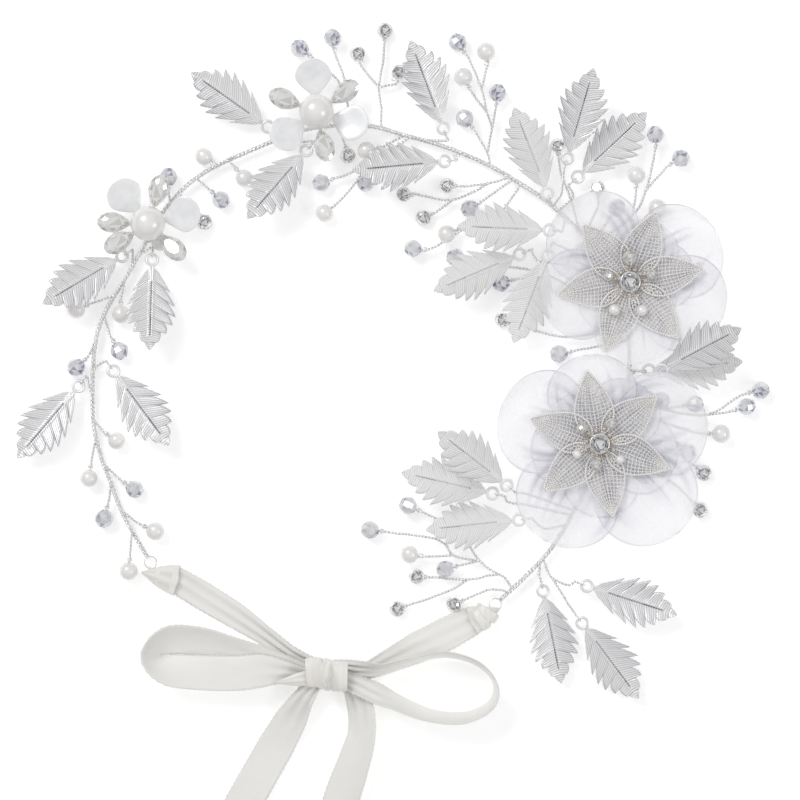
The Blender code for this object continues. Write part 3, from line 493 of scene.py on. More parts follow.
world = bpy.data.worlds.new("studio")
world.use_nodes = True
sky = world.node_tree
sky_place = sky.nodes.new("ShaderNodeTexCoord")
sky_split = sky.nodes.new("ShaderNodeSeparateXYZ")
sky_ramp = sky.nodes.new("ShaderNodeValToRGB")
sky_ramp.color_ramp.elements[0].color = (0.16, 0.16, 0.17, 1.0)
sky_ramp.color_ramp.elements[1].color = (0.78, 0.78, 0.78, 1.0)
sky.links.new(sky_place.outputs["Generated"], sky_split.inputs[0])
sky.links.new(sky_split.outputs["Z"], sky_ramp.inputs["Fac"])
sky.links.new(sky_ramp.outputs["Color"], sky.nodes["Background"].inputs["Color"])
bpy.context.scene.world = world
bpy.context.scene.view_settings.view_transform = "Standard"
print("camera height:", round(camera.location.z, 3), "m")

# %% [markdown]
# ## Satin ribbons
#
# Two ribbons of 10 mm double-faced satin close the crown. Each is tied to the wire eye at one end of
# the vine, runs to the bow, makes a loop and leaves as a tail. Such ties are sold in 30 cm pieces.
# A ribbon bends easily across its face and hardly at all in its plane, so each is a strip laid
# along a route whose points also say how far it stands on its edge, and how much it is gathered.

# %% Ribbon routes
# x, y and z in mm from the ring's middle, bank in degrees (0 flat, 90 on edge), share of full width
LEFT_RIBBON = [
    (-48.4, -60.2, 1.4, 6, 0.72), (-41, -64.6, 1.2, 4, 0.76), (-32, -70.0, 1.8, 18, 0.74),
    (-24, -75.4, 2.2, 36, 0.64), (-17, -80.4, 1.7, 30, 0.46), (-12, -83.0, 0.9, 6, 0.34),
    (-7, -84.2, 1.0, 0, 0.30), (-2, -84.4, 2.4, 12, 0.34), (3, -84.8, 4.6, 44, 0.52),
    (9, -84.6, 6.5, 72, 0.85), (18, -82.2, 6.7, 78, 1.0), (27, -80.8, 6.2, 78, 1.0),
    (35.5, -83.2, 5.9, 80, 1.0), (40.5, -88.6, 5.8, 84, 1.0), (39.5, -94.6, 5.8, 80, 1.0),
    (32, -98.4, 5.8, 76, 1.0), (22, -97.6, 5.9, 74, 1.0), (12, -93.6, 6.2, 66, 0.95),
    (4, -90.0, 5.7, 28, 0.60), (-3, -87.6, 5.1, 0, 0.40), (-9, -88.2, 5.3, 0, 0.40),
    (-12.8, -92.8, 4.9, 0, 0.56), (-16.4, -99.0, 2.2, 0, 0.86), (-20.6, -106.4, 0.9, 0, 0.98),
    (-26.6, -117.0, 0.9, 0, 1.0), (-32.6, -128.0, 0.9, 0, 1.0), (-37, -139.0, 0.9, 0, 1.0),
    (-37.6, -151.0, 0.9, 0, 1.0), (-33, -162.0, 0.9, 0, 1.0), (-24, -169.6, 0.9, 0, 1.0),
    (-12.5, -172.4, 0.9, 0, 1.0), (-2, -168.6, 0.9, 0, 1.0), (4.6, -160.0, 0.9, 0, 1.0),
]
RIGHT_RIBBON = [
    (34.0, -71.6, 1.4, 0, 0.80), (27, -75.2, 1.2, 0, 0.90), (19, -79.0, 1.0, 0, 0.85),
    (11, -82.8, 0.8, 0, 0.62), (4, -86.0, 0.7, 0, 0.40), (-2, -87.6, 0.7, 0, 0.30),
    (-7, -87.6, 1.0, 0, 0.30), (-11, -86.2, 1.8, -6, 0.34), (-16, -84.4, 2.6, -12, 0.50),
    (-23, -82.8, 3.4, -22, 0.76), (-32, -80.2, 4.6, -34, 0.98), (-41, -77.4, 5.4, -34, 1.0),
    (-49.4, -76.6, 5.8, -36, 1.0), (-54.2, -79.3, 5.9, -52, 1.0), (-54.4, -82.5, 5.9, -52, 1.0),
    (-50.0, -85.0, 6.1, -34, 1.0), (-42, -85.7, 6.4, -24, 1.0), (-32, -85.9, 6.6, -22, 1.0),
    (-24.4, -85.2, 6.3, -14, 0.92), (-18.5, -85.6, 5.4, -8, 0.62), (-12.5, -86.6, 3.9, -4, 0.38),
    (-5, -87.0, 3.6, 0, 0.34),
    (0.4, -90.0, 3.5, 8, 0.50), (3, -95.8, 3.9, 34, 0.84), (3.2, -103.6, 3.9, 42, 1.0),
    (0.6, -112.6, 3.1, 28, 1.0), (-2.6, -122.4, 1.7, 12, 1.0), (-4.4, -132.6, 0.9, 0, 1.0),
    (-2.6, -143.0, 0.9, 0, 1.0), (4.6, -150.4, 0.9, 0, 1.0), (15, -152.6, 0.9, 0, 1.0),
    (25.4, -149.4, 0.9, 0, 1.0), (33.4, -142.4, 0.9, 0, 1.0), (38.8, -133.0, 0.9, 0, 1.0),
]
RIBBON_WIDTH = 0.0100
KNOT_SIZE = (0.0042, 0.0060, 0.0044)
BOW_KNOT_SIZE = (0.0120, 0.0078, 0.0032)
BOW_KNOT_PLACE = Vector((-6.4, -86.2, 7.2))
print("ribbon routes:", len(LEFT_RIBBON), "and", len(RIGHT_RIBBON), "points")


def spline_point(points, i, t):
    """Point on a Catmull-Rom curve after point i, by a share t of the way to the next."""
    last = len(points) - 1
    p0 = points[max(i - 1, 0)]
    p1 = points[i]
    p2 = points[min(i + 1, last)]
    p3 = points[min(i + 2, last)]
    return 0.5 * (2 * p1 + (p2 - p0) * t + (2 * p0 - 5 * p1 + 4 * p2 - p3) * t ** 2
                  + (3 * p1 - 3 * p2 + p3 - p0) * t ** 3)


def smooth_route(points, step):
    """A finer route through the points, about a step apart."""
    route = []
    for i in range(len(points) - 1):
        pieces = max(1, round((points[i + 1] - points[i]).length / step))
        for k in range(pieces):
            route.append(spline_point(points, i, k / pieces))
    route.append(points[-1].copy())
    return route


def path_length(points):
    return sum((b - a).length for a, b in zip(points, points[1:]))


# %% Satin strip
STRIP_STEP = 0.0007
STRIP_COLUMNS = 16
SATIN_THICKNESS = 0.0003
SATIN_LIFT = 0.00025        # the lowest that the middle of the cloth lies over the table
PLEAT_DEPTH = 0.0009
CUP_DEPTH = 0.00022
PICOT = 0.00030             # the woven edge's small loops


def grid_piece(name, rows, cut, attributes=None):
    """A sheet from rows of points. cut gives each point's place on the flat cloth, in metres."""
    work = bmesh.new()
    cut_map = work.loops.layers.uv.new("cut")
    layers = {key: work.verts.layers.float.new(key) for key in (attributes or {})}
    verts = []
    flat = {}
    for r, row in enumerate(rows):
        line = []
        for c, point in enumerate(row):
            vert = work.verts.new(point)
            flat[vert] = cut(r, c)
            for key, layer in layers.items():
                vert[layer] = attributes[key](r, c)
            line.append(vert)
        verts.append(line)
    for near, far in zip(verts, verts[1:]):
        for c in range(len(near) - 1):
            face = work.faces.new((near[c], near[c + 1], far[c + 1], far[c]))
            for loop in face.loops:
                loop[cut_map].uv = flat[loop.vert]
    mesh = bpy.data.meshes.new(name)
    work.to_mesh(mesh)
    work.free()
    made = bpy.data.objects.new(name, mesh)
    bpy.context.scene.collection.objects.link(made)
    return made


def ribbon_rows(route, seed):
    """Cross rows of a ribbon, its middle line, and the depth of its folds, which is painted as shade."""
    random.seed(seed)
    points = [RING_MIDDLE + Vector((x, y, z)) * MM for x, y, z, bank, share in route]
    extras = [Vector((math.radians(bank), share, 0)) for x, y, z, bank, share in route]
    rows = []
    middle = []
    folds = []
    phase = random.random() * 6
    travelled = 0.0
    for i in range(len(points) - 1):
        pieces = max(2, round((points[i + 1] - points[i]).length / STRIP_STEP))
        for k in range(pieces):
            t = k / pieces
            middle.append((spline_point(points, i, t), extras[i].lerp(extras[i + 1], t)))
    middle.append((points[-1], extras[-1]))
    for i, (point, (bank, share, _)) in enumerate(middle):
        before = middle[max(i - 1, 0)][0]
        after = middle[min(i + 1, len(middle) - 1)][0]
        along = after - before
        travelled += (point - before).length
        flat = Vector((-along.y, along.x, 0)).normalized()
        side = flat * math.cos(bank) + UP * math.sin(bank)
        out = along.normalized().cross(side).normalized()
        gather = max(0.0, 1.0 - share)
        row = []
        depths = []
        for c in range(STRIP_COLUMNS + 1):
            across = c / STRIP_COLUMNS * 2 - 1
            pleat = math.cos(across * math.pi * 2.5 + phase + travelled * 30)
            cup = CUP_DEPTH * (1 - across * across) * math.sin(travelled * 95 + phase)
            edge = PICOT if c in (0, STRIP_COLUMNS) and i % 2 else 0.0
            reach = RIBBON_WIDTH / 2 * share * across + math.copysign(edge, across)
            row.append(point + side * reach + out * (gather * PLEAT_DEPTH * pleat + cup))
            # Painted shade, darker in the valleys of the gathered pleats.
            depths.append(gather * (0.5 - 0.5 * pleat))
        rows.append(row)
        folds.append(depths)
    return rows, [point for point, extra in middle], folds


def satin_strip(name, node, route, seed):
    """One ribbon, with its middle line and its measured length."""
    rows, middle, folds = ribbon_rows(route, seed)
    rows = [[Vector((p.x, p.y, max(p.z, SATIN_LIFT))) for p in row] for row in rows]
    run = [0.0]
    for a, b in zip(middle, middle[1:]):
        run.append(run[-1] + (b - a).length)
    made = grid_piece(name, rows, lambda r, c: (RIBBON_WIDTH * c / STRIP_COLUMNS, run[r]),
                      {"fold_shade": lambda r, c: folds[r][c]})
    thicken(made, SATIN_THICKNESS)
    made.data.shade_smooth()
    dress(made, SATIN, "ivory_satin")
    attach(made, "root")
    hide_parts(node)
    print(name, "measures", round(run[-1] * 1000), "mm")
    return made, middle, run[-1]


# %% Knots of wound satin
BAND_RADIUS = 0.045             # of a wound band, as a share of its ring
PINCHES = (-0.34, -0.12, 0.10, 0.32)
PINCH_SIZE = 0.80
BAND_TURNS = (14, -12, 9)       # degrees


def wound_knot(name, centre, size, heading, wraps):
    """A knot: a pinched core with satin bands wound round it, all lengthwise along X."""
    deselect()
    bpy.ops.mesh.primitive_uv_sphere_add(segments=40, ring_count=24, radius=0.5,
                                         rotation=(0, math.pi / 2, 0))
    core = bpy.context.object
    core.scale = (size[0] * 1.04, size[1] * 0.88, size[2] * 0.80)
    settle(core)
    bpy.ops.object.mode_set(mode="EDIT")
    for share in PINCHES:
        bpy.ops.mesh.select_all(action="DESELECT")
        work = bmesh.from_edit_mesh(core.data)
        for vert in work.verts:
            vert.select = abs(vert.co.x / size[0] - share) < 0.035
        work.select_flush(True)
        bmesh.update_edit_mesh(core.data)
        bpy.ops.transform.resize(value=(1.0, PINCH_SIZE, PINCH_SIZE), center_override=(0, 0, 0))
    bpy.ops.object.mode_set(mode="OBJECT")
    parts = [core]
    for number in range(wraps):
        share = (number + 0.5) / wraps - 0.5
        girth = 0.93 + 0.05 * math.cos(share * 4)
        deselect()
        bpy.ops.mesh.primitive_torus_add(major_segments=48, minor_segments=14, major_radius=0.5,
                                         minor_radius=BAND_RADIUS, rotation=(0, math.pi / 2, 0))
        band = bpy.context.object
        settle(band)
        band.scale = (size[0] * 0.60 / wraps / BAND_RADIUS, size[1] * girth, size[2] * girth)
        band.location = (size[0] * share * 0.86, 0, 0)
        band.rotation_euler = (0, 0, math.radians(BAND_TURNS[number % 3]))
        settle(band)
        parts.append(band)
    pick(*parts)
    bpy.ops.object.join()
    core.name = name
    smooth = core.modifiers.new("round", "SUBSURF")
    smooth.levels = 1
    smooth.render_levels = 1
    bpy.ops.object.modifier_apply(modifier="round")
    core.rotation_euler = (0, 0, math.radians(heading))
    core.location = centre
    settle(core)
    core.data.shade_smooth()
    # Painted shade in bands across the wound knot.
    point_values(core, "fold_shade", [0.25 * abs(math.sin(v.co.x * 1900 + v.co.z * 700))
                                for v in core.data.vertices])
    dress(core, SATIN_KNOT, "ivory_satin")
    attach(core, "root")
    return core


# %% Cut the two ribbons and tie the knots
# places (angle, out) along the vine, from the end at the left ribbon to the end at the right one
VINE_LINE = [
    (223.5, 8.0), (214, 6.0), (206, 4.5), (198, 4.0), (190, 3.0), (176, 1.5), (168, 0.0),
    (160, -2.5), (152, -3.5), (140, -2.5), (128, -2.5), (111, -4.0), (99, -3.0), (86, -3.0),
    (77, -4.0), (66, -3.5), (55, -2.0), (45, 0.0), (38, 2.0), (26, 5.5), (12, 8.0), (-2, 8.0),
    (-16, 6.5), (-28, 4.5), (-38, 5.5), (-46, 6.5), (-57.5, 8.0),
]
VINE_HEIGHT = 0.00195
EYE_RADIUS = 0.0017
EYE_WIRE_RADIUS = 0.0004
GAP = 0.0003
FAN_ROWS = 34
FAN_COLUMNS = 36
SATIN_KNOT = satin("satin of the knots", (0.99, 0.97, 0.93), (0.90, 0.875, 0.825))


def end_knot(side, end, neighbour, scale):
    """A knot on the wire eye at one end of the vine, and its centre."""
    point = on_ring(end, VINE_HEIGHT)
    away = (point - on_ring(neighbour, VINE_HEIGHT)).normalized()
    eye = EYE_RADIUS * 2 + EYE_WIRE_RADIUS
    centre = point + away * (eye + GAP + KNOT_SIZE[0] / 2)
    centre.z = KNOT_SIZE[2] / 2 + GAP
    size = (KNOT_SIZE[0] * scale, KNOT_SIZE[1] * scale, KNOT_SIZE[2] * min(scale, 1.0))
    knot = wound_knot(side + "_knot", centre, size, math.degrees(math.atan2(away.y, away.x)), 2)
    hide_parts(side + "_ribbon_knot")
    return knot, centre


def end_fan(name, start, finish, half, height, floor=0.0):
    """The ribbon folded on itself from the wire eye: it opens like a fan and tucks under itself, with
    painted shade in its pleats.
    """
    along = finish - start
    side = Vector((-along.y, along.x, 0)).normalized()
    rows = []
    folds = []
    for r in range(FAN_ROWS + 1):
        share = r / FAN_ROWS
        reach = half * (0.07 + 0.93 * math.sin(share * math.pi / 2) ** 1.05)
        row = []
        fold_shade = []
        for c in range(FAN_COLUMNS + 1):
            turn = 2 * math.pi * c / FAN_COLUMNS
            across = math.cos(turn)
            pleat = math.cos(across * 7.5 + share * 1.4)
            puff = height * (0.14 + 0.86 * math.sin(share * math.pi * 0.93))
            lift = math.sin(turn) * puff / 2 * (1 + 0.10 * pleat)
            end = 1.0 - 0.16 * across * across if r == FAN_ROWS else 1.0
            point = start + along * share * end + side * reach * across
            row.append(Vector((point.x, point.y, floor + max(0.0002, height * 0.52 + lift))))
            # Painted shade, darker in the valleys of the pleats and even near the end.
            fold_shade.append(0.5 - 0.5 * pleat if share < 0.8 else 0.2)
        rows.append(row)
        folds.append(fold_shade)
    fan = grid_piece(name, rows,
                     lambda r, c: (half * 2 * c / FAN_COLUMNS, along.length * r / FAN_ROWS),
                     {"fold_shade": lambda r, c: folds[r][c] * 0.6})
    pick(fan)
    bpy.ops.object.mode_set(mode="EDIT")
    bpy.ops.mesh.select_all(action="SELECT")
    bpy.ops.mesh.remove_doubles(threshold=0.000001)
    bpy.ops.mesh.select_all(action="DESELECT")
    bpy.ops.mesh.select_non_manifold()
    bpy.ops.mesh.fill_holes(sides=0)
    bpy.ops.mesh.select_all(action="SELECT")
    bpy.ops.mesh.normals_make_consistent(inside=False)
    bpy.ops.object.mode_set(mode="OBJECT")
    fan.data.shade_smooth()
    dress(fan, SATIN_KNOT, "ivory_satin")
    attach(fan, "root")
    return fan


left_knot, left_centre = end_knot("left", VINE_LINE[0], VINE_LINE[1], 0.62)
right_knot, right_centre = end_knot("right", VINE_LINE[-1], VINE_LINE[-2], 1.15)
bow = wound_knot("bow_wraps", RING_MIDDLE + BOW_KNOT_PLACE * MM,
                 (BOW_KNOT_SIZE[0] * 1.02, BOW_KNOT_SIZE[1] * 1.05, BOW_KNOT_SIZE[2] * 1.25), -10, 3)
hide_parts("bow_knot")
tuck = end_fan("bow_tuck", RING_MIDDLE + Vector((-21.0, -88.6, 0)) * MM,
               RING_MIDDLE + Vector((-9.6, -86.8, 0)) * MM, 0.0023, 0.0016, 0.0066)
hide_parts("bow_knot")

ribbons = {}
for side, centre, knot, route, seed in (("left", left_centre, left_knot, LEFT_RIBBON, 2),
                                        ("right", right_centre, right_knot, RIGHT_RIBBON, 9)):
    first = RING_MIDDLE + Vector(route[0][:3]) * MM
    towards = first - centre
    towards.z = 0
    start = centre + towards.normalized() * (max(KNOT_SIZE) / 2 + GAP) - RING_MIDDLE
    opening = (start.x / MM, start.y / MM, route[0][2] + 0.2, route[0][3], 0.42)
    strip, middle, length = satin_strip(side + "_satin_ribbon", side + "_ribbon",
                                        [opening] + route, seed)
    ribbons[side] = (strip, middle, length)
    eye_spot = centre + (centre - first).normalized() * 0.0050
    eye_spot.z = 0.0
    fan = end_fan(side + "_fan", eye_spot, Vector((first.x, first.y, 0)) + towards * 0.10,
                  0.0042 if side == "left" else 0.0040, 0.0040)
    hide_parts(side + "_ribbon_knot")
    attached = [knot, fan, bow, tuck] if side == "left" else [knot, fan]
    tuple(middle[0])
    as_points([tuple(p) for p in middle[::6]] + [tuple(middle[-1])])

# %% [markdown]
# ## Wound wires
#
# The vine is craft wire twisted by hand: thin strands laid round each other, wound over again where
# a stalk leaves. A stalk is one finer wire, folded at its bead and twisted back on itself. Each is a
# helix round a smooth route, and a round bevel gives it its thickness. All the strands of one spray
# are splines of one curve, which is then made a mesh.

# %% Strands that wind round a route
VINE_RADIUS = 0.00065
STALK_RADIUS = 0.00028
LOOP_WIRE_RADIUS = 0.00022
RUNNER_HEIGHT = VINE_HEIGHT + VINE_RADIUS + GAP + STALK_RADIUS
# half the thickness of each wire
VINE_STRAND = 0.00031
OVER_STRAND = 0.00014
EYE_STRAND = 0.00022
STALK_STRAND = 0.00020


def twist(points, radius, pitch, step, start):
    """A helix of a radius and pitch round a route, in pieces about a step long."""
    route = smooth_route(points, step)
    strand = []
    travelled = 0.0
    for i, point in enumerate(route):
        along = route[min(i + 1, len(route) - 1)] - route[max(i - 1, 0)]
        if i:
            travelled += (point - route[i - 1]).length
        side = Vector((-along.y, along.x, 0.0))
        if side.length < 1e-9:
            side = Vector((1.0, 0.0, 0.0))
        side.normalize()
        up = side.cross(along.normalized())
        turn = start + travelled / pitch * 2 * math.pi
        strand.append(point + side * radius * math.cos(turn) + up * radius * math.sin(turn))
    return strand


def wire_piece(name, groups):
    """One mesh of wires. A group is (strands, thickness, closed)."""
    made = []
    for strands, thickness, closed in groups:
        curve = bpy.data.curves.new(name, "CURVE")
        curve.dimensions = "3D"
        curve.bevel_depth = thickness
        curve.bevel_resolution = 1
        curve.use_fill_caps = True
        for points in strands:
            spline = curve.splines.new("POLY")
            spline.points.add(len(points) - 1)
            spline.points.foreach_set("co", [v for p in points for v in (p.x, p.y, p.z, 1.0)])
            spline.use_cyclic_u = closed
        thing = bpy.data.objects.new(name, curve)
        bpy.context.scene.collection.objects.link(thing)
        made.append(thing)
    pick(*made)
    bpy.ops.object.convert(target="MESH")
    if len(made) > 1:
        bpy.ops.object.join()
    thing = bpy.context.view_layer.objects.active
    thing.name = name
    thing.data.shade_smooth()
    return thing


# %% The vine
VINE_STEP = 0.00042
OVER_STEP = 0.00022


def vine_line_out(angle):
    """How far outside the ring line the vine runs at an angle."""
    for (a0, out0), (a1, out1) in zip(VINE_LINE, VINE_LINE[1:]):
        if a1 <= angle <= a0:
            return out0 + (out1 - out0) * (angle - a0) / (a1 - a0)
    return VINE_LINE[-1][1]


def ring_of(centre, across, up, radius, count):
    """Points of a circle in the plane of two directions."""
    made = []
    for i in range(count):
        turn = 2 * math.pi * i / count
        made.append(centre + across * radius * math.cos(turn) + up * radius * math.sin(turn))
    return made


vine_points = [on_ring(place, VINE_HEIGHT) for place in VINE_LINE]
thirds = [2 * math.pi * k / 3 for k in range(3)]
vine_strands = [twist(vine_points, 0.00040, 0.0036, VINE_STEP, start) for start in thirds]
over_strand = twist(vine_points, 0.00066, 0.0017, OVER_STEP, 0.0)
eyes = []
for end, neighbour in ((0, 1), (-1, -2)):
    tip = vine_points[end]
    away = (tip - vine_points[neighbour]).normalized()
    side = Vector((-away.y, away.x, 0))
    centre = tip + away * EYE_RADIUS
    for lift in (-0.0002, 0.0002):
        eyes.append(ring_of(centre + Vector((0, 0, lift)), away, side, EYE_RADIUS, 28))
vine = wire_piece("wound_vine", [(vine_strands, VINE_STRAND, False),
                                 ([over_strand], OVER_STRAND, False), (eyes, EYE_STRAND, True)])
dress(vine, WIRE, "silver_wire")
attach(vine, "root")
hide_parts("vine_wire")
print("vine:", round(path_length(vine_points) * 1000), "mm long,", len(vine.data.polygons), "faces")

# %% [markdown]
# ## Beads
#
# Pearls are round with a drilled hole whose rim is pressed in. The crystals are bicones, two cut
# cones base to base. The rhinestones are cut glass in small claw cups. One of each is made at the
# origin with its hole or cup along Z, and copied, each copy with its own mesh, on to the stalks.

# %% One pearl
PEARL_RADIUS = 0.0026
PEARL_RIM = 0.00252             # points beyond this height belong to the hole's rim
PEARL_DIMPLE = 0.0002
deselect()
bpy.ops.mesh.primitive_uv_sphere_add(segments=28, ring_count=18, radius=PEARL_RADIUS)
pearl = bpy.context.object
pearl.name = "pearl_pattern"
bpy.ops.object.mode_set(mode="EDIT")
for pole in (1, -1):
    work = bmesh.from_edit_mesh(pearl.data)
    for vert in work.verts:
        vert.select = vert.co.z * pole > PEARL_RIM
    work.select_flush(True)
    bmesh.update_edit_mesh(pearl.data)
    bpy.ops.mesh.select_mode(type="VERT")
    bpy.ops.transform.translate(value=(0, 0, -PEARL_DIMPLE * pole))
bpy.ops.object.mode_set(mode="OBJECT")
pearl.data.shade_smooth()
print("pearl:", len(pearl.data.polygons), "faces")

# %% One bicone crystal
CRYSTAL_LENGTH = 0.0048
CRYSTAL_END = 0.0011
CRYSTAL_RINGS = ((0.0, 0.00262), (0.0013, 0.00215), (-0.0013, 0.00215))     # height and radius


def paint_facet_reflections(thing, seed, dark):
    """Paints reflections on the flat facets, one shade each: a share of them dark, as cut glass shows."""
    random.seed(seed)
    data = thing.data.attributes.new("painted_facet_reflection", "FLOAT", "FACE")
    values = []
    for face in thing.data.polygons:
        low, high = (0.0, 0.35) if random.random() < dark else (0.70, 1.0)
        values.append(random.uniform(low, high))
    data.data.foreach_set("value", values)


def flat_shaded(thing):
    pick(thing)
    bpy.ops.object.shade_flat()


deselect()
bpy.ops.mesh.primitive_cylinder_add(vertices=10, radius=CRYSTAL_END, depth=CRYSTAL_LENGTH)
bicone = bpy.context.object
bicone.name = "crystal_pattern"
bpy.ops.object.mode_set(mode="EDIT")
for height, reach in CRYSTAL_RINGS:
    bpy.ops.mesh.select_all(action="SELECT")
    bpy.ops.mesh.bisect(plane_co=(0, 0, height), plane_no=(0, 0, 1))
    work = bmesh.from_edit_mesh(bicone.data)
    ring = [v for v in work.verts if abs(v.co.z - height) < 1e-5]
    size = reach / max(v.co.to_2d().length for v in ring)
    bpy.ops.transform.resize(value=(size, size, 1.0), center_override=(0, 0, height))
bpy.ops.mesh.select_all(action="SELECT")
bpy.ops.mesh.quads_convert_to_tris(quad_method="LONGEST_DIAGONAL")
bpy.ops.object.mode_set(mode="OBJECT")
flat_shaded(bicone)
paint_facet_reflections(bicone, 4, 0.24)
print("crystal:", len(bicone.data.polygons), "facets")

# %% One rhinestone and its claw cup
STONE_RADIUS = 0.00195
STONE_STEPS = ((0.00045, 0.82), (0.00035, 0.72))        # height, and size of the step's top
# reach from the middle and height of the points of a claw, then height and radius of the cup's rings
CLAW = ((0.0019, -0.0008), (0.0021, 0.0003), (0.00195, 0.00072), (0.00150, 0.00095))
CUP_RINGS = ((0.0002, 0.0020), (-0.0005, 0.0017), (-0.0010, 0.0011))
CUP_WIRE = 0.00022


def draw_out(thing, end, height, size):
    """Extrudes the top face of a solid in edit mode, or the bottom one for end -1, and resizes it."""
    work = bmesh.from_edit_mesh(thing.data)
    tip = max(work.faces, key=lambda f: f.calc_center_median().z * end)
    for face in work.faces:
        face.select = face == tip
    bmesh.update_edit_mesh(thing.data)
    bpy.ops.mesh.extrude_region_move(TRANSFORM_OT_translate={"value": (0, 0, height)})
    bpy.ops.transform.resize(value=(size, size, 1.0))


deselect()
bpy.ops.mesh.primitive_cylinder_add(vertices=12, radius=STONE_RADIUS, depth=0.0002,
                                    location=(0, 0, 0.0004))
stone = bpy.context.object
stone.name = "stone_pattern"
settle(stone)
bpy.ops.object.mode_set(mode="EDIT")
bpy.ops.mesh.select_mode(type="FACE")
for height, size in STONE_STEPS:
    draw_out(stone, 1, height, size)
bpy.ops.mesh.select_all(action="SELECT")
bpy.ops.mesh.quads_convert_to_tris(quad_method="SHORTEST_DIAGONAL", ngon_method="BEAUTY")
work = bmesh.from_edit_mesh(stone.data)
for face in work.faces:
    face.select = face.normal.z > 0.9
bmesh.update_edit_mesh(stone.data)
bpy.ops.mesh.poke()
bpy.ops.object.mode_set(mode="OBJECT")
flat_shaded(stone)
paint_facet_reflections(stone, 6, 0.24)

claw_wires = []
for number in range(4):
    away = flat_direction(math.radians(45 + 90 * number))
    claw_wires.append([away * reach + Vector((0, 0, height)) for reach, height in CLAW])
flat_x = Vector((1, 0, 0))
flat_y = Vector((0, 1, 0))
cup_rings = [ring_of(UP * height, flat_x, flat_y, radius, 16) for height, radius in CUP_RINGS]
cup = wire_piece("cup_pattern", [(claw_wires, CUP_WIRE, False), (cup_rings, CUP_WIRE, True)])
print("stone:", len(stone.data.polygons), "facets, cup", len(cup.data.polygons), "faces")
PATTERNS = {"pearl": pearl, "crystal": bicone, "stone": stone, "cup": cup}


def gather(name, kind, places):
    """Copies of one pattern at the given matrices, joined as one piece."""
    copies = []
    for matrix in places:
        copy = bpy.data.objects.new(name, PATTERNS[kind].data.copy())
        bpy.context.scene.collection.objects.link(copy)
        copy.data.transform(matrix)
        copies.append(copy)
    pick(*copies)
    if len(copies) > 1:
        bpy.ops.object.join()
    made = bpy.context.view_layer.objects.active
    made.name = name
    return made


# %% Leaf places
# eyelet (angle, out), height of the hinge in mm, then heading, tilt and roll in degrees
LEAVES = {
    "leaf_01": ((109.0, 0.4), 3.0, 145, 10, -8),
    "leaf_02": ((101.5, -9.0), 3.4, 230, 16, 10),
    "leaf_03": ((154.5, 0.5), 2.6, 212, 12, 6),
    "leaf_04": ((152.0, -7.5), 3.0, 269, 14, -6),
    "leaf_05": ((184.5, 6.0), 3.2, 230, 4, 8),
    "leaf_06": ((181.5, -4.0), 3.2, 307, 8, -8),
    "leaf_07": ((68.5, 1.0), 3.6, 111, 10, 14),
    "leaf_08": ((65.0, -7.5), 6.6, 186, 12, -6),
    "leaf_09": ((41.0, 3.0), 4.3, 112, 16, -10),
    "leaf_10": ((43.5, 13.5), 7.4, 74, 12, 6),
    "leaf_11": ((39.5, 12.5), 3.6, 43, 6, 8),
    "leaf_12": ((34.0, -3.0), 7.0, 178, 12, 4),
    "leaf_13": ((33.0, -13.5), 6.2, 203, 4, -8),
    "leaf_14": ((29.0, -7.0), 5.8, 249, 0, -4),
    "leaf_15": ((-1.0, 17.0), 6.0, 29, 20, 8),
    "leaf_16": ((-1.0, 13.5), 3.0, 5, 4, -6),
    "leaf_17": ((-42.0, -16.5), 6.6, 167, 8, 4),
    "leaf_18": ((-37.5, -15.0), 8.6, 142, 22, -6),
    "leaf_19": ((-42.5, -6.0), 3.4, 186, 7, 4),
    "leaf_20": ((-49.5, 13.0), 3.4, 281, 0, -12),
    "leaf_21": ((-48.0, 27.0), 3.2, 307, 0, 8),
    "leaf_22": ((-43.0, 20.5), 3.4, 342, 3, -6),
}
LEAF_REACH = 0.0262
LEAF_WIDTH = 0.0128
EYELET_RADIUS = 0.0020
EYELET_HOLE_RADIUS = 0.0011
LOOP_RADIUS = (EYELET_RADIUS - EYELET_HOLE_RADIUS) / 2 + LOOP_WIRE_RADIUS + GAP
HINGE_INSET = (EYELET_RADIUS + EYELET_HOLE_RADIUS) / 2


def leaf_matrix(name):
    """Place of a leaf's hinge line, which is the middle of its eyelet's rim."""
    eyelet, height, heading, tilt, roll = LEAVES[name]
    turn = (Matrix.Rotation(math.radians(heading), 4, "Z")
            @ Matrix.Rotation(-math.radians(tilt), 4, "Y")
            @ Matrix.Rotation(math.radians(roll), 4, "X"))
    flat = Vector((math.cos(math.radians(heading)), math.sin(math.radians(heading)), 0))
    hinge = on_ring(eyelet, height * MM) - flat * HINGE_INSET * math.cos(math.radians(tilt))
    return Matrix.Translation(hinge) @ turn


print("leaf places:", len(LEAVES))

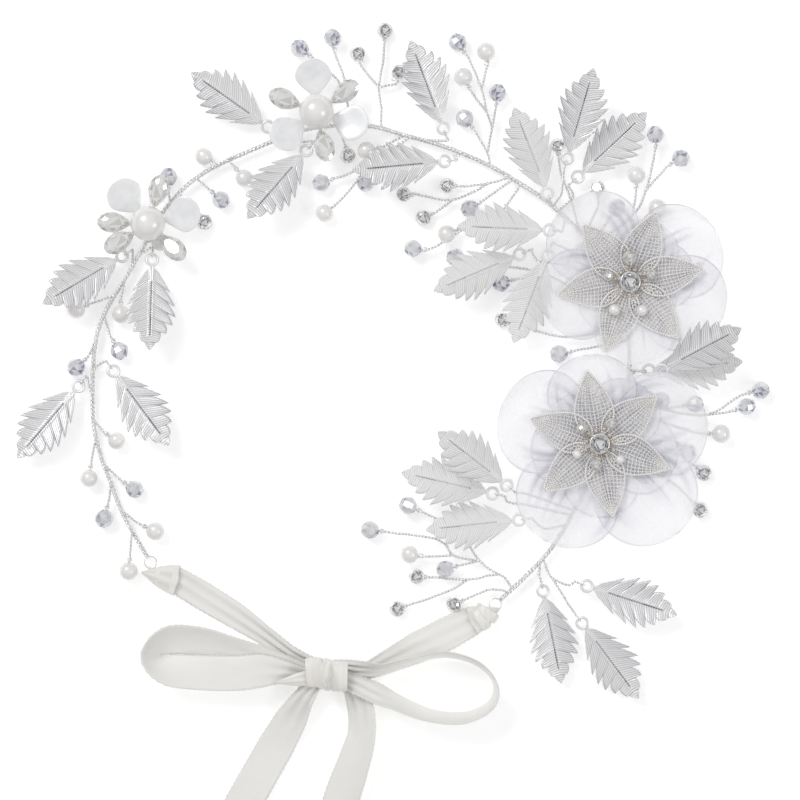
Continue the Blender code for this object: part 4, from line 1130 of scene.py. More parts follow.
# %% Spray places
# the angles its wires run between on the vine, then each stalk: what is on its end, and its places
SPRAYS = {
    "spray_left_end": ((191, 218), [
        ("pearl", [217.5, (223, 14.5)]),
        ("pearl", [212.5, (217.5, 3.5), (220.5, 1.5)]),
        ("crystal", [206.5, (210, 8), (212, 11)]),
        ("crystal", [201.5, (207, 1.5), (210, -0.5)]),
        ("pearl", [196, (201, 7.5), (203.5, 9.5)]),
        ("pearl", [192, (195.5, 1), (198, -1.5)]),
    ]),
    "spray_left_side": ((148, 187), [
        ("crystal", [174, (178.5, 3.5), (180.5, 6.5)]),
        ("crystal", [168.5, (173.5, -3), (176.5, -5.5)]),
        ("pearl", [158.5, (164, -3.5), (167.5, -4.5)]),
        ("pearl", [163.5, (166.5, 4), (168.5, 8)]),
        ("pearl", [148.5, (147, -6.9)]),
        ("leaf_03", [155.5]),
        ("leaf_04", [152.5]),
        ("leaf_05", [186.5]),
        ("leaf_06", [182, (180.5, 1)]),
    ]),
    "spray_between_flowers": ((119, 139), [
        ("crystal", [138, (136, 0.5), (134, 3)]),
        ("stone", [135, (135, -8), (135.5, -13)]),
        ("pearl", [124, (124, -1), (125, 1.2)]),
        ("crystal", [129.5, (128.5, -8), (128, -11.5)]),
        ("pearl", [121, (120, -7), (119.5, -10)]),
    ]),
    "spray_flower_twig": ((60, 107), [
        ("stone", [82.5, (83, 2), (84, 8), (83.8, 16), (84, 24)]),
        ("stone", [(84, 8), (88, 14), (88.5, 17)]),
        ("stone", [(84, 8), (80.5, 10), (80.5, 13)]),
        ("crystal", [89, (90.5, 3), (92.5, 9.5), (97, 16.5), (99, 19.5)]),
        ("crystal", [(90.5, 3), (91, 9.5), (93, 18.5), (93, 21.5)]),
        ("stone", [92.5, (90.5, -11.5)]),
        ("pearl", [76.5, (81, -8), (85.5, -10)]),
        ("crystal", [75, (80.5, -10.5), (84.5, -13.5), (91.5, -17), (99, -18.5)]),
        ("crystal", [(80.5, -10.5), (85, -19)]),
        ("pearl", [(84.5, -13.5), (91.5, -22.5), (99.5, -27)]),
        ("leaf_01", [106.5]),
        ("leaf_02", [104.5, (103, -6)]),
        ("leaf_07", [71.5, (69.5, -3)]),
        ("leaf_08", [61, (63.5, -5)]),
    ]),
    "spray_top": ((52, 57), [
        ("crystal", [55, (57, 0.5), (62.5, 4.5), (65, 6)]),
        ("crystal", [(57, 0.5), (59, 7), (60.5, 13), (61.5, 16.5)]),
        ("pearl", [(59, 7), (61.5, 10), (66.5, 14), (68.5, 16.5)]),
        ("crystal", [(61.5, 10), (64.5, 15.5), (69, 22), (71.5, 25)]),
        ("pearl", [(64.5, 15.5), (65.5, 23), (66.5, 25.5)]),
    ]),
    "spray_inner": ((33, 50), [
        ("stone", [49.5, (52.5, -6), (58.5, -11.5), (61.5, -13)]),
        ("stone", [(52.5, -6), (58, -15.5), (70, -19), (72.5, -20)]),
        ("stone", [(58, -15.5), (61, -21.5), (63.5, -24)]),
        ("crystal", [48.5, (51, -11), (52.5, -15)]),
        ("pearl", [46.5, (45.5, -10.5), (49.5, -18.5), (53.5, -24.5)]),
        ("crystal", [(49.5, -18.5), (54, -29), (57.5, -32), (61.5, -33)]),
        ("leaf_09", [40.5]),
        ("leaf_10", [38, (39, 6)]),
        ("leaf_11", [36.5, (37, 8)]),
        ("leaf_12", [34.5]),
    ]),
    "spray_upper_outer": ((17, 31), [
        ("stone", [30.5, (36.5, 7), (42, 9.5), (46.5, 14.5)]),
        ("stone", [29, (32.5, 12), (35.5, 15)]),
        ("crystal", [26, (28, 19.5), (30.5, 26), (35.5, 35), (37, 37)]),
        ("crystal", [(30.5, 26), (32, 34.5), (32, 39)]),
        ("pearl", [(28, 19.5), (32, 24.5), (33.5, 26)]),
        ("crystal", [26.5, (30.5, 16.5)]),
        ("pearl", [24, (25, 18), (27, 26.5)]),
    ]),
    "spray_inner_behind": ((3, 16), [
        ("crystal", [9, (24, -9), (35, -21), (45.5, -28)]),
        ("crystal", [(24, -9), (27, -17), (28.5, -22)]),
        ("pearl", [(24, -9), (23, -13), (22, -18)]),
        ("stone", [7, (7.5, -9.5), (11.5, -19), (16.5, -25.5)]),
        ("crystal", [5, (3, -11.5)]),
        ("leaf_13", [14, (23, -1.5), (29, -10)]),
        ("leaf_14", [15.5, (24, 2)]),
    ]),
    "spray_right": ((-22, 1), [
        ("crystal", [-6, (-8, 18), (-8, 30.5), (-4.5, 39.5), (-3.5, 45)]),
        ("crystal", [(-8, 30.5), (-7, 37), (-6, 41.5)]),
        ("pearl", [-9, (-11, 27), (-10.5, 35.5)]),
        ("crystal", [-12, (-13, 22), (-14.5, 27.5)]),
        ("stone", [-15, (-17, 23), (-16, 28), (-17, 33.5)]),
        ("stone", [-18, (-20, 25), (-22.5, 36)]),
        ("crystal", [-3, (-6.5, 17.5)]),
        ("crystal", [(-8, 18), (-6.5, 27)]),
        ("leaf_15", [-1, (-1.5, 13)]),
        ("leaf_16", [-2.5]),
    ]),
    "spray_lower_left": ((-57, -30), [
        ("stone", [-54, (-54.5, 2), (-61, -1.5), (-72.5, -8)]),
        ("stone", [(-61, -1.5), (-67.5, -1), (-79, -0.5)]),
        ("stone", [-55, (-58, 4), (-66.5, 3)]),
        ("crystal", [(-54.5, 2), (-56.5, -4.5), (-56.5, -14.5), (-60, -20), (-67.5, -27.5)]),
        ("crystal", [(-56.5, -4.5), (-61.5, -9.5), (-63.5, -15.5), (-83, -23.5)]),
        ("pearl", [(-61.5, -9.5), (-70, -13), (-72.5, -14.5)]),
        ("crystal", [(-56.5, -4.5), (-65, -7)]),
        ("pearl", [(-56.5, -14.5), (-59.5, -17.5)]),
        ("leaf_17", [-34, (-38, -6), (-41, -12)]),
        ("leaf_18", [-33, (-35, -5), (-36.5, -10)]),
        ("leaf_19", [-36, (-40, 1)]),
        ("leaf_20", [-46, (-48, 9)]),
        ("leaf_22", [-45, (-46.5, 12), (-45, 17)]),
        ("leaf_21", [(-46.5, 12), (-47.5, 20)]),
    ]),
}
BEAD_HEIGHT = {"pearl": PEARL_RADIUS, "crystal": 0.0026, "stone": 0.0015}
print("spray places:", len(SPRAYS), "sprays with", sum(len(SPRAYS[name][1]) for name in SPRAYS), "stalks")

# %% [markdown]
# ## Bead sprays
#
# A spray is made by winding its wires along the vine and letting them leave one by one. A bead is
# held by the wire that passes through its hole and twists back on itself under it, which leaves a
# small eye of wire at the bead's foot. The stalks are slightly wavy, as hand-bent wire is.

# %% Wire routes of a spray
WAVE_STEP = 0.0022


def vine_top(angle):
    """Where a wire lies on top of the vine."""
    return on_ring((angle, vine_line_out(angle)), RUNNER_HEIGHT)


def runner_points(first, last, roots):
    """Route of a spray's wires along the vine, which passes every root."""
    count = max(2, round(abs(last - first) / 7) + 1)
    angles = {first + (last - first) * i / (count - 1) for i in range(count)}
    angles = sorted(angle for angle in angles if all(abs(angle - root) > 1 for root in roots))
    return [vine_top(angle) for angle in sorted(angles + list(roots))]


def stalk_points(kind, start, places):
    """Route of a stalk from its root to its bead, or to its leaf's wire loop."""
    if kind in LEAVES:
        loop = leaf_matrix(kind)
        ends = [loop @ Vector((-LOOP_RADIUS - STALK_RADIUS * 4, 0, 0)),
                loop @ Vector((-LOOP_RADIUS, 0, 0))]
    else:
        ends = [on_ring(places[-1], BEAD_HEIGHT[kind])]
        places = places[:-1]
    route = [start]
    for number, place in enumerate(places, 1):
        share = number / (len(places) + 1)
        route.append(on_ring(place, start.z + (ends[0].z - start.z) * share))
    return route + ends


def bent(route, amount):
    """A route with a little waviness between its points."""
    fine = smooth_route(route, WAVE_STEP)
    for point in fine[1:-1]:
        point += Vector((random.uniform(-amount, amount), random.uniform(-amount, amount), 0))
    return fine


# %% Make the sprays
STALK_WAVE = 0.00010
STONE_TILT = 14                 # degrees
FOOT_EYE_RADIUS = 0.00055
FOOT_EYE_GAP = 0.0003
FOOT_EYE_BACK = {"pearl": 0.0030, "crystal": 0.0030, "stone": 0.0021}
# end of the piece's name, pattern, kind of bead that gives its places, finish and slot
BEAD_PARTS = (
    ("_pearls", "pearl", "pearl", PEARL, "ivory_pearl"),
    ("_crystals", "crystal", "crystal", CRYSTAL, "lavender_crystal"),
    ("_stones", "stone", "stone", STONE, "clear_stone"),
    ("_cups", "cup", "stone", WIRE, "silver_wire"),
)
bead_count = {"pearl": 0, "crystal": 0, "stone": 0}
for name, ((first, last), stalks) in SPRAYS.items():
    random.seed(name)
    roots = {places[0] for kind, places in stalks if not isinstance(places[0], tuple)}
    runner = runner_points(first, last, roots)
    stalk_strands = []
    hoops = []
    spots = {"pearl": [], "crystal": [], "stone": []}
    for start in (0.0, math.pi):
        stalk_strands.append(twist(runner, 0.00020, 0.0021, 0.0003, start))
    joints = {}
    for kind, places in stalks:
        start = joints[places[0]] if places[0] in joints else vine_top(places[0])
        route = stalk_points(kind, start, places[1:])
        for place, point in zip(places[1:], route[1:]):
            joints.setdefault(place, point)
        wavy = bent(route, STALK_WAVE)
        for begin in (0.0, math.pi):
            stalk_strands.append(twist(wavy, 0.00023, 0.0019, 0.00026, begin))
        if kind in LEAVES:
            loop = leaf_matrix(kind)
            axis_x = loop.to_3x3() @ Vector((1, 0, 0))
            axis_z = loop.to_3x3() @ UP
            hoops.append(ring_of(loop.translation, axis_x, axis_z, LOOP_RADIUS, 22))
            continue
        direction = (wavy[-1] - wavy[-3]).normalized()
        across = Vector((-direction.y, direction.x, 0)).normalized()
        lean = UP.rotation_difference(direction).to_matrix().to_4x4()
        spin = Matrix.Rotation(random.uniform(0, math.pi), 4, "Z")
        size = Matrix.Scale(random.uniform(0.95, 1.02), 4)
        if kind == "stone":
            tilts = [math.radians(random.uniform(-STONE_TILT, STONE_TILT)) for axis in "XY"]
            face = Matrix.Rotation(tilts[0], 4, "X") @ Matrix.Rotation(tilts[1], 4, "Y")
            place = Matrix.Translation(wavy[-1] + Vector((0, 0, 0.0002))) @ face @ spin @ size
        else:
            place = Matrix.Translation(wavy[-1]) @ lean @ spin @ size
        spots[kind].append(place)
        bead_count[kind] += 1
        eye = wavy[-1] - direction * (FOOT_EYE_BACK[kind] + FOOT_EYE_GAP)
        hoops.append(ring_of(eye, direction, across, FOOT_EYE_RADIUS, 14))
    wires = wire_piece(name + "_wires", [(stalk_strands, STALK_STRAND, False),
                                         (hoops, STALK_STRAND, True)])
    made = [(wires, WIRE, "silver_wire")]
    for suffix, pattern, kind, finish, slot_name in BEAD_PARTS:
        if spots[kind]:
            made.append((gather(name + suffix, pattern, spots[kind]), finish, slot_name))
    for piece, finish, slot_name in made:
        dress(piece, finish, slot_name)
        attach(piece, "root")
        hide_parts(name)
print("beads:", bead_count)

# %% [markdown]
# ## Stamped leaves
#
# Each leaf is stamped from thin sheet: a double midrib with a groove between, lobes that point to
# the tip, and fine diagonal ribs. The blade is a strip whose cross lines slant forward like a
# leaf's veins, so its cut edge makes the lobes by itself. Ribs finer than the mesh are bump, which
# follows the leaf's own map. A ring of wire makes the eyelet that the leaf swings on.

# %% Shape of a blade
LEAF_ROWS = 120
LEAF_COLUMNS = 20
LOBES = 6
BLADE_START = HINGE_INSET + EYELET_RADIUS - 0.0002
BLADE_LENGTH = LEAF_REACH + HINGE_INSET - BLADE_START
RIB_REACH = 0.84            # share of the blade that its midrib runs along
LOBE_DEPTH = 0.42
MIDRIB_PLACE = 0.00040      # each of its two ridges from the middle
MIDRIB_WIDTH = 0.00020
MIDRIB_HEIGHT = 0.00026
GROOVE_WIDTH = 0.00026
GROOVE_DEPTH = 0.00012
VALLEY_DEPTH = 0.00016      # between two lobes
LEAF_THICKNESS = 0.00032
NECK_WIRE = 0.00034
NECK_HALF = 0.00032
FLAT_CUP = 0.0003
STACKED_LEAVES = ("leaf_17", "leaf_18", "leaf_19")      # flat, so that they swing past each other
PALE_LEAVES = ("leaf_09", "leaf_12", "leaf_13", "leaf_14", "leaf_16") + STACKED_LEAVES


def lobe_share(share):
    """How far a row is through its lobe, from its slit at 0 to its point near 1."""
    return (share * (LOBES + 0.5) + 0.10) % 1.0


def blade_half_width(share):
    """Half the width of the blade at a share of its length, lobes and their fine teeth included."""
    swell = math.sin(math.pi * min(1.0, share * 0.95 + 0.05) ** 0.78) ** 0.82
    lobe = lobe_share(share)
    rise = min(1.0, lobe / 0.84) ** 0.62 if lobe < 0.92 else (1.0 - lobe) / 0.08
    depth = LOBE_DEPTH * min(1.0, (1 - share) / 0.12)
    saw = 0.035 * ((lobe * 4) % 1.0)
    return LEAF_WIDTH * 0.54 * max(swell * (1 - depth * (1 - rise) + saw * depth * 2), 0.012)


def blade_point(r, c, cup, curl):
    """Place on the blade, and its painted shade: dark in the groove and between the lobes, light on the
    midrib's ridges, darker on one side.
    """
    share = r / LEAF_ROWS
    step = c / LEAF_COLUMNS * 2 - 1
    across = math.copysign(abs(step) ** 1.7, step)
    half = blade_half_width(share)
    side = abs(across)
    x = BLADE_START + BLADE_LENGTH * share + side * half * 0.95 * (1 - share) ** 0.8
    y = across * half
    ridge = math.exp(-((abs(y) - MIDRIB_PLACE) / MIDRIB_WIDTH) ** 2) if share < RIB_REACH else 0.0
    groove = math.exp(-(y / GROOVE_WIDTH) ** 2) if share < RIB_REACH else 0.0
    lobe = lobe_share(share)
    valley = math.exp(-(min(lobe, 1 - lobe) / 0.07) ** 2) * side ** 0.9
    rise = MIDRIB_HEIGHT * ridge - GROOVE_DEPTH * groove - VALLEY_DEPTH * valley
    rise += VALLEY_DEPTH * math.sin(math.pi * lobe) * side
    rise += cup * (half / (LEAF_WIDTH / 2)) ** 2 * side ** 1.3 + curl * share * share
    # Painted shade in the groove and between the lobes, and a painted highlight on the midrib's ridges.
    shade = 0.92 - 0.90 * groove - 0.50 * valley + 0.15 * ridge
    # Painted shade: one side of the blade is darker than the other.
    shade -= 0.24 * max(0.0, across) ** 0.5 * (1 - 0.5 * share)
    return Vector((x, y, rise)), max(0.0, min(1.0, shade))


def leaf_piece(name, number):
    """One leaf with its neck and eyelet, dressed and placed on its own body."""
    random.seed(number * 7 + 3)
    cup = random.choice((0.0011, -0.0006, 0.0014, 0.0007))
    curl = random.uniform(-0.0004, 0.0014)
    if name in STACKED_LEAVES:
        cup = FLAT_CUP
        curl = 0.0
    grid = [[blade_point(r, c, cup, curl) for c in range(LEAF_COLUMNS + 1)]
            for r in range(LEAF_ROWS + 1)]
    blade = grid_piece(name + "_blade", [[point for point, shade in row] for row in grid],
                       lambda r, c: ((c / LEAF_COLUMNS - 0.5), r / LEAF_ROWS),
                       {"relief_shade": lambda r, c: grid[r][c][1]})
    thicken(blade, LEAF_THICKNESS)
    blade.data.shade_smooth()
    deselect()
    bpy.ops.mesh.primitive_torus_add(major_segments=36, minor_segments=12, major_radius=HINGE_INSET,
                                     minor_radius=(EYELET_RADIUS - EYELET_HOLE_RADIUS) / 2,
                                     location=(HINGE_INSET, 0, 0))
    eyelet = bpy.context.object
    settle(eyelet)
    eyelet.data.shade_smooth()
    neck = wire_piece(name + "_neck", [([[Vector((HINGE_INSET + EYELET_RADIUS - 0.0003, y, 0)),
                                         Vector((BLADE_START + 0.0016, y * 0.8, 0.00012)),
                                         Vector((BLADE_START + 0.0045, y * 0.7, 0.0002))]
                                        for y in (-NECK_HALF, NECK_HALF)], NECK_WIRE, False)])
    # The eyelet and neck carry one even painted shade.
    for part in (eyelet, neck):
        point_values(part, "relief_shade", [0.85] * len(part.data.vertices))
    pick(blade, neck, eyelet)
    bpy.ops.object.join()
    blade.data.transform(leaf_matrix(name))
    dress(blade, PALE_LEAF if name in PALE_LEAVES else LEAF, "silver_leaf")
    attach(blade, name)
    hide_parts(name)
    return blade


# %% Make the leaves
for number, name in enumerate(LEAVES):
    made = leaf_piece(name, number)
print("leaves:", len(LEAVES), "with", len(made.data.polygons), "faces each")

# %% [markdown]
# ## Organza petals
#
# Each large flower has five round petals cut from organza, gathered at the middle and sealed at
# the edge, so that they stand up a little and crease in lines from the middle. A short petal lies
# in each gap between two of them. A petal is a sheet whose cross rows go from the gather to the
# round end. One value is high in the creases, where the cloth looks closed and its colour has
# painted shade, and `rim` is high along the sealed edge, where the cloth looks closed too. The
# threads and their bump follow the flat cut.

# %% Organza
# middle (angle, out), direction and reach in mm of each petal, direction of the first filigree point
LARGE_FLOWERS = {
    "upper": (UPPER_PLACE,
              [(32, 27.5), (-22, 27.5), (-84, 23.0), (194, 25.5), (130, 28.0)], 70),
    "lower": ((-17.5, 3.0),
              [(18, 30.5), (99, 25.0), (159, 29.5), (-120, 31.0), (-48, 33.0)], 40),
}
FLOWER_FLOOR = RUNNER_HEIGHT + STALK_RADIUS + GAP
ORGANZA_RISE = 0.0055
FILIGREE_RISE = 0.0042
FILIGREE_REACH = 0.0205
LAYER = 0.00003              # one petal lies this much over the next at the gather
INNER_TURN = 33              # degrees from an outer petal to the short one over it
INNER_SHARE = 0.66           # length of a short petal, as a share of the outer one
WIDEST_AT = 0.58             # share of a petal's length where it is widest
WIDEST_HALF = 0.0148
CREASES = 13
CREASE_HEIGHT = 0.00085
WAVE_HEIGHT = 0.00050
EDGE_LIFT = 0.0009
LOWEST_CLOTH = 0.0001
PETAL_ROWS = 40
PETAL_COLUMNS = 44


def petal_half_width(share, widest):
    """Half the width of a petal at a share of its length: a narrow gather, then a round end."""
    if share < WIDEST_AT:
        return widest * (0.20 + 0.80 * math.sin(share / WIDEST_AT * math.pi / 2) ** 1.1)
    return widest * math.sqrt(max(0.0, 1 - ((share - WIDEST_AT) / (1 - WIDEST_AT)) ** 2))


def organza_petal(side, number, place, direction, reach, full_reach):
    """One petal. full_reach is the reach of the outer petal whose rise it follows."""
    random.seed(number * 13 + len(side) + int(direction))
    widest = min(WIDEST_HALF, reach * 0.50)
    turn = math.radians(direction)
    folds = [(random.uniform(-0.9, 0.9), random.uniform(0.030, 0.075), random.uniform(0.40, 0.90))
             for k in range(CREASES)]
    waves = random.uniform(0, 6)

    def at(r, c):
        """Place from the flower's base, crease, rim and place on the flat cloth of one point."""
        share = 1 - (1 - r / PETAL_ROWS) ** 1.35
        across = c / PETAL_COLUMNS * 2 - 1
        half = petal_half_width(share, widest)
        x = reach * share
        y = half * across
        out = math.hypot(x, y)
        crease = 0.0
        for centre, width, end in folds:
            fade = max(0.0, 1 - share / end)
            crease = max(crease, math.exp(-((across - centre) / width) ** 2) * min(1.0, fade * 2.2))
        rim = 1.0 if (c in (0, PETAL_COLUMNS) or r == PETAL_ROWS) else 0.0
        rise = ORGANZA_RISE * (out / full_reach) ** 2 * 0.9 + 0.0004 + LAYER * number
        rise += CREASE_HEIGHT * crease * (1 if number % 2 else -0.4)
        rise += WAVE_HEIGHT * share * math.sin(across * 4 + waves)
        rise += EDGE_LIFT * abs(across) ** 3 * share
        filigree = LOWEST_CLOTH + FILIGREE_RISE * (out / FILIGREE_REACH) ** 2
        rise = min(rise, filigree + LAYER * number)
        point = Vector((x * math.cos(turn) - y * math.sin(turn),
                        x * math.sin(turn) + y * math.cos(turn), max(rise, LOWEST_CLOTH)))
        return point, crease, rim, (y, x)

    grid = [[at(r, c) for c in range(PETAL_COLUMNS + 1)] for r in range(PETAL_ROWS + 1)]
    base = on_ring(place, FLOWER_FLOOR)
    made = grid_piece("%s_organza_%d" % (side, number),
                      [[base + cell[0] for cell in row] for row in grid],
                      lambda r, c: grid[r][c][3],
                      {"crease_veil_and_shade": lambda r, c: grid[r][c][1], "rim": lambda r, c: grid[r][c][2]})
    made.data.shade_smooth()
    dress(made, ORGANZA, "white_organza")
    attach(made, "root")
    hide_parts(side + "_organza_petals")
    area = 0.0
    for r in range(PETAL_ROWS):
        for c in range(PETAL_COLUMNS):
            corners = [grid[r + i][c + j][3] for i, j in ((0, 0), (0, 1), (1, 1), (1, 0))]
            area += 0.5 * abs(sum(p[0] * q[1] - q[0] * p[1]
                                  for p, q in zip(corners, corners[1:] + corners[:1])))
    round(widest * 2, 4)
    side + "_flower_backing"
    return made


for side, (place, petals, star) in LARGE_FLOWERS.items():
    for number, (direction, reach) in enumerate(petals, 1):
        organza_petal(side, number, place, direction, reach * MM, reach * MM)
        between = direction + INNER_TURN
        organza_petal(side, number + 5, place, between, reach * MM * INNER_SHARE, reach * MM)
print("organza petals:", 2 * sum(len(petals) for place, petals, star in LARGE_FLOWERS.values()))

# %% [markdown]
# ## Filigree flowers
#
# On the organza lies a flower of six pointed petals in filigree: beaded wire along the edge and
# fine wires lengthwise inside, soldered on a thin back. One petal is made along X from wires and
# tiny grains, and turned six times.

# %% One filigree petal
PETAL_FOOT = 0.0022
PETAL_HALF = 0.0048
INNER_LINES = (-0.80, -0.60, -0.40, -0.20, 0.20, 0.40, 0.60, 0.80)
EDGE_WIRE = 0.00024
INNER_WIRE = 0.00013
SPINE_WIRE = 0.00020
RUNG_WIRE = 0.00012
RUNGS = 15
GRAIN_RADIUS = 0.00036


def filigree_point(share, across):
    """Place on the petal: share from foot to point, across from -1 to 1 between its edges."""
    out = PETAL_FOOT + (FILIGREE_REACH - PETAL_FOOT) * share
    swell = math.sin(math.pi * share ** 0.72) ** 0.9 if 0 < share < 1 else 0.0
    half = PETAL_HALF * (0.20 * (1 - share) + swell)
    rise = FILIGREE_RISE * (out / FILIGREE_REACH) ** 2 + 0.0010 * abs(across) ** 2 * swell
    return Vector((out, across * half, rise))


def edge_line(across, first, last, count):
    """A line along the petal at one place across it."""
    return [filigree_point(first + (last - first) * k / count, across) for k in range(count + 1)]


def even_points(line, step):
    """Points a step apart along a line."""
    found = [line[0].copy()]
    left = step
    for a, b in zip(line, line[1:]):
        length = (b - a).length
        done = 0.0
        while length - done >= left:
            done += left
            found.append(a.lerp(b, done / length))
            left = step
        left -= length - done
    return found


grain_lift = Vector((0, 0, 0.0003))
outer = [edge_line(across, 0.0, 1.0, 40) for across in (-1.0, 1.0)]
inner = [edge_line(across, 0.03, 0.95, 36) for across in INNER_LINES]
spine = [edge_line(0.0, 0.0, 0.98, 40)]
petal_wires = wire_piece("filigree_wires", [(outer, EDGE_WIRE, False), (inner, INNER_WIRE, False),
                                            (spine, SPINE_WIRE, False)])
deselect()
bpy.ops.mesh.primitive_ico_sphere_add(subdivisions=1, radius=GRAIN_RADIUS)
grain = bpy.context.object
grain.data.shade_smooth()
PATTERNS["grain"] = grain
grain_spots = []
for lines, step, size in ((outer, 0.00066, 1.0), (spine, 0.00075, 0.8), (inner, 0.00072, 0.62)):
    for line in lines:
        for point in even_points(line, step):
            spot = Matrix.Translation(point + grain_lift * size)
            grain_spots.append(spot @ Matrix.Scale(size, 4))
petal_grains = gather("filigree_grains", "grain", grain_spots)
rungs = []
for number in range(RUNGS):
    share = 0.10 + number * 0.055
    rungs.append([filigree_point(min(0.97, share + 0.05 * abs(k / 6 - 1)), k / 6 - 1)
                  for k in range(13)])
petal_rungs = wire_piece("filigree_rungs", [(rungs, RUNG_WIRE, False)])
# How much painted shade each part carries: most on the wires, some on the rungs, none on the grains.
for part, depth in ((petal_wires, 0.50), (petal_grains, 0.0), (petal_rungs, 0.2)):
    point_values(part, "hollow_shade", [depth] * len(part.data.vertices))
pick(petal_wires, petal_grains, petal_rungs)
bpy.ops.object.join()
PATTERNS["filigree"] = petal_wires
print("filigree petal:", len(petal_wires.data.polygons), "faces")

# %% Filigree flowers with their centre stones
ORGANZA_THICKNESS = 0.0004
STAR_BASE = FLOWER_FLOOR + ORGANZA_THICKNESS + GAP
STONE_SPOT = STAR_BASE + 0.0009 + 0.0016
STONE_SCALE = 1.32
GLINTS = 11
GLINT_SCALE = 0.22
# beads on the filigree: kind, direction in degrees, distance out in mm and scale
STAMENS = {
    "upper": [("crystal", 92, 6.6, 0.80), ("crystal", 20, 6.2, 0.60), ("pearl", 240, 9.0, 0.62),
              ("pearl", 292, 8.6, 0.62), ("crystal", 165, 6.4, 0.60)],
    "lower": [("crystal", 262, 6.0, 0.60), ("crystal", 60, 6.4, 0.60), ("pearl", 322, 7.2, 0.50),
              ("pearl", 205, 7.0, 0.50), ("crystal", 140, 6.6, 0.60)],
}
for side, (place, petals, star) in LARGE_FLOWERS.items():
    turns = []
    for number in range(6):
        turn = math.radians(star + 60 * number)
        turns.append(Matrix.Translation(on_ring(place, STAR_BASE)) @ Matrix.Rotation(turn, 4, "Z"))
    flower = gather(side + "_filigree", "filigree", turns)
    dress(flower, FILIGREE, "silver_wire")
    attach(flower, "root")
    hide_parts(side + "_filigree_flower")
    seat = Matrix.Translation(on_ring(place, STONE_SPOT - 0.0004)) @ Matrix.Scale(STONE_SCALE, 4)
    centre = gather(side + "_centre", "stone", [seat])
    dress(centre, STONE, "clear_stone")
    setting = gather(side + "_setting", "cup", [seat])
    dress(setting, WIRE, "silver_wire")
    for piece in (centre, setting):
        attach(piece, "root")
        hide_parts(side + "_centre_stone")
    glints = []
    for number in range(GLINTS):
        away = flat_direction(math.radians(star + 360 / GLINTS * number))
        reach = 0.0036 + 0.0007 * (number % 2)
        spot = on_ring(place, STONE_SPOT - 0.0012) + away * reach
        glints.append(Matrix.Translation(spot) @ Matrix.Scale(GLINT_SCALE, 4))
    ring = gather(side + "_centre_glints", "pearl", glints)
    dress(ring, CHAMPAGNE, "champagne_drop")
    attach(ring, "root")
    for kind, finish, slot_name in (("pearl", PEARL, "ivory_pearl"),
                                    ("crystal", DROP, "champagne_drop")):
        spots = []
        for what, direction, out, scale in STAMENS[side]:
            if what == kind:
                turn = math.radians(direction)
                height = STAR_BASE + FILIGREE_RISE * (out * MM / FILIGREE_REACH) ** 2
                spot = on_ring(place, height + PEARL_RADIUS * scale + 0.0004)
                spot += flat_direction(turn) * out * MM
                spots.append(Matrix.Translation(spot) @ Matrix.Rotation(turn, 4, "Z")
                             @ Matrix.Rotation(math.pi / 2, 4, "Y") @ Matrix.Scale(scale, 4))
        stamens = gather("%s_stamen_%ss" % (side, kind), kind, spots)
        dress(stamens, finish, slot_name)
        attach(stamens, "root")
    pad_node = bpy.data.objects[side + "_flower_backing"]
    for pad_slot in pad_node.material_slots:
        pad_slot.material = FELT.material
print("large flowers:", list(LARGE_FLOWERS))

# %% [markdown]
# ## Shell and crystal flowers
#
# Two small flowers sit on the vine: a large pearl in the middle, petals of polished shell, and
# pear-shaped crystal drops. A shell petal starts as a sphere, flattened and drawn in towards its
# foot. A drop starts as a cut disc, drawn to a pear and bevelled towards its table.

# %% Petal patterns
# middle (angle, out), then the directions of the shell petals and of the crystal drops
SMALL_FLOWERS = {
    "left": ((145, -1.5), [130, 15], [73, 178, 212, -44]),
    "top": ((97.5, 1.0), [95, -17, 216], [158, 35, -77]),
}
SHELL_LENGTH = 0.0112
SHELL_WIDTH = 0.0104
SHELL_THICKNESS = 0.0011
DROP_LENGTH = 0.0098
DROP_WIDTH = 0.0060
DROP_THICKNESS = 0.0034
# which end, then the height of each step away from the rim and the size of its top
DROP_STEPS = ((1, 0.0007, 0.80), (1, 0.0006, 0.66), (-1, -0.0009, 0.66), (-1, -0.0006, 0.4))
BOWL_DEPTH = 0.0007


def pear(thing, length, width, foot):
    """Draws a disc of radius 0.5 to a pear along +X from its foot."""
    for vert in thing.data.vertices:
        share = max(0.0, vert.co.x + 0.5)
        taper = foot + (1 - foot) * math.sin(min(1.0, share / 0.62) * math.pi / 2) ** 1.2
        vert.co = Vector((share * length, vert.co.y * width * taper, vert.co.z))


deselect()
bpy.ops.mesh.primitive_uv_sphere_add(segments=48, ring_count=24, radius=0.5)
shell_petal = bpy.context.object
shell_petal.scale = (1, 1, SHELL_THICKNESS * 1.25)
settle(shell_petal)
pear(shell_petal, SHELL_LENGTH, SHELL_WIDTH, 0.30)
for vert in shell_petal.data.vertices:
    bowl = (vert.co.y / (SHELL_WIDTH / 2)) ** 2 + (vert.co.x / SHELL_LENGTH - 0.5) ** 2 * 4
    vert.co.z += BOWL_DEPTH * bowl
shell_petal.data.shade_smooth()
PATTERNS["shell"] = shell_petal

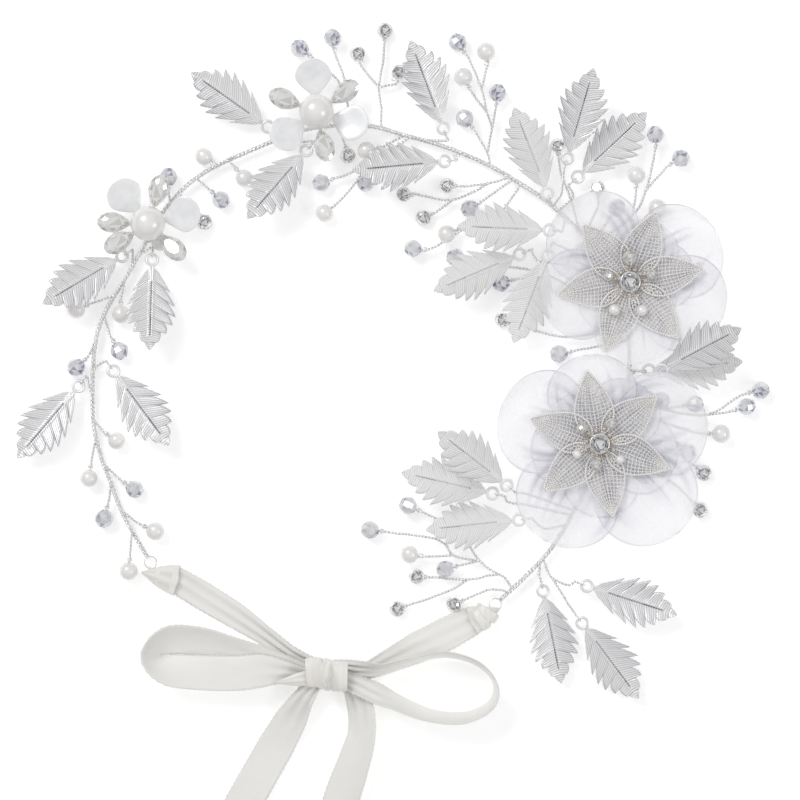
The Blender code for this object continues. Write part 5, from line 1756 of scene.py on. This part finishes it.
deselect()
bpy.ops.mesh.primitive_cylinder_add(vertices=14, radius=0.5, depth=0.0004)
drop = bpy.context.object
bpy.ops.object.mode_set(mode="EDIT")
bpy.ops.mesh.select_mode(type="FACE")
for end, height, size in DROP_STEPS:
    draw_out(drop, end, height, size)
bpy.ops.mesh.select_all(action="SELECT")
bpy.ops.mesh.quads_convert_to_tris(quad_method="SHORTEST_DIAGONAL")
bpy.ops.object.mode_set(mode="OBJECT")
pear(drop, DROP_LENGTH, DROP_WIDTH, 0.42)
flat_shaded(drop)
paint_facet_reflections(drop, 12, 0.16)
PATTERNS["drop"] = drop
print("drop:", len(drop.data.polygons), "facets")

# %% Place the petals and the centre pearls
CENTRE_PEARL_DIAMETER = 0.0098
PETAL_LIFT = 14                 # degrees
for side, (place, shells, drops) in SMALL_FLOWERS.items():
    radius = CENTRE_PEARL_DIAMETER / 2
    middle = on_ring(place, 0)
    seat = Matrix.Translation(middle + Vector((0, 0, FLOWER_FLOOR + radius)))
    centre = gather(side + "_pearl", "pearl", [seat @ Matrix.Scale(radius / PEARL_RADIUS, 4)
                                               @ Matrix.Rotation(1.2, 4, "X")])
    dress(centre, PEARL, "ivory_pearl")
    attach(centre, "root")
    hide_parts(side + "_centre_pearl")
    foot = radius + GAP
    kinds = (("shell", "shell_petal", shells, SHELL_THICKNESS, 0.82, SHELL, "white_shell"),
             ("drop", "crystal_petal", drops, DROP_THICKNESS, 0.90, DROP, "champagne_drop"))
    for pattern, node, directions, thickness, start, finish, slot_name in kinds:
        for number, direction in enumerate(directions, 1):
            turn = math.radians(direction)
            lift = Vector((0, 0, FLOWER_FLOOR + thickness / 2 * 1.15))
            spot = middle + flat_direction(turn) * foot * start + lift
            matrix = (Matrix.Translation(spot) @ Matrix.Rotation(turn, 4, "Z")
                      @ Matrix.Rotation(math.radians(-PETAL_LIFT), 4, "Y"))
            piece = gather("%s_%s_%d" % (side, pattern, number), pattern, [matrix])
            dress(piece, finish, slot_name)
            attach(piece, "root")
            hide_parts("%s_%s_%d" % (side, node, number))
print("small flowers:", list(SMALL_FLOWERS))

# %% Remove the patterns
for pattern in PATTERNS.values():
    bpy.data.objects.remove(pattern, do_unlink=True)
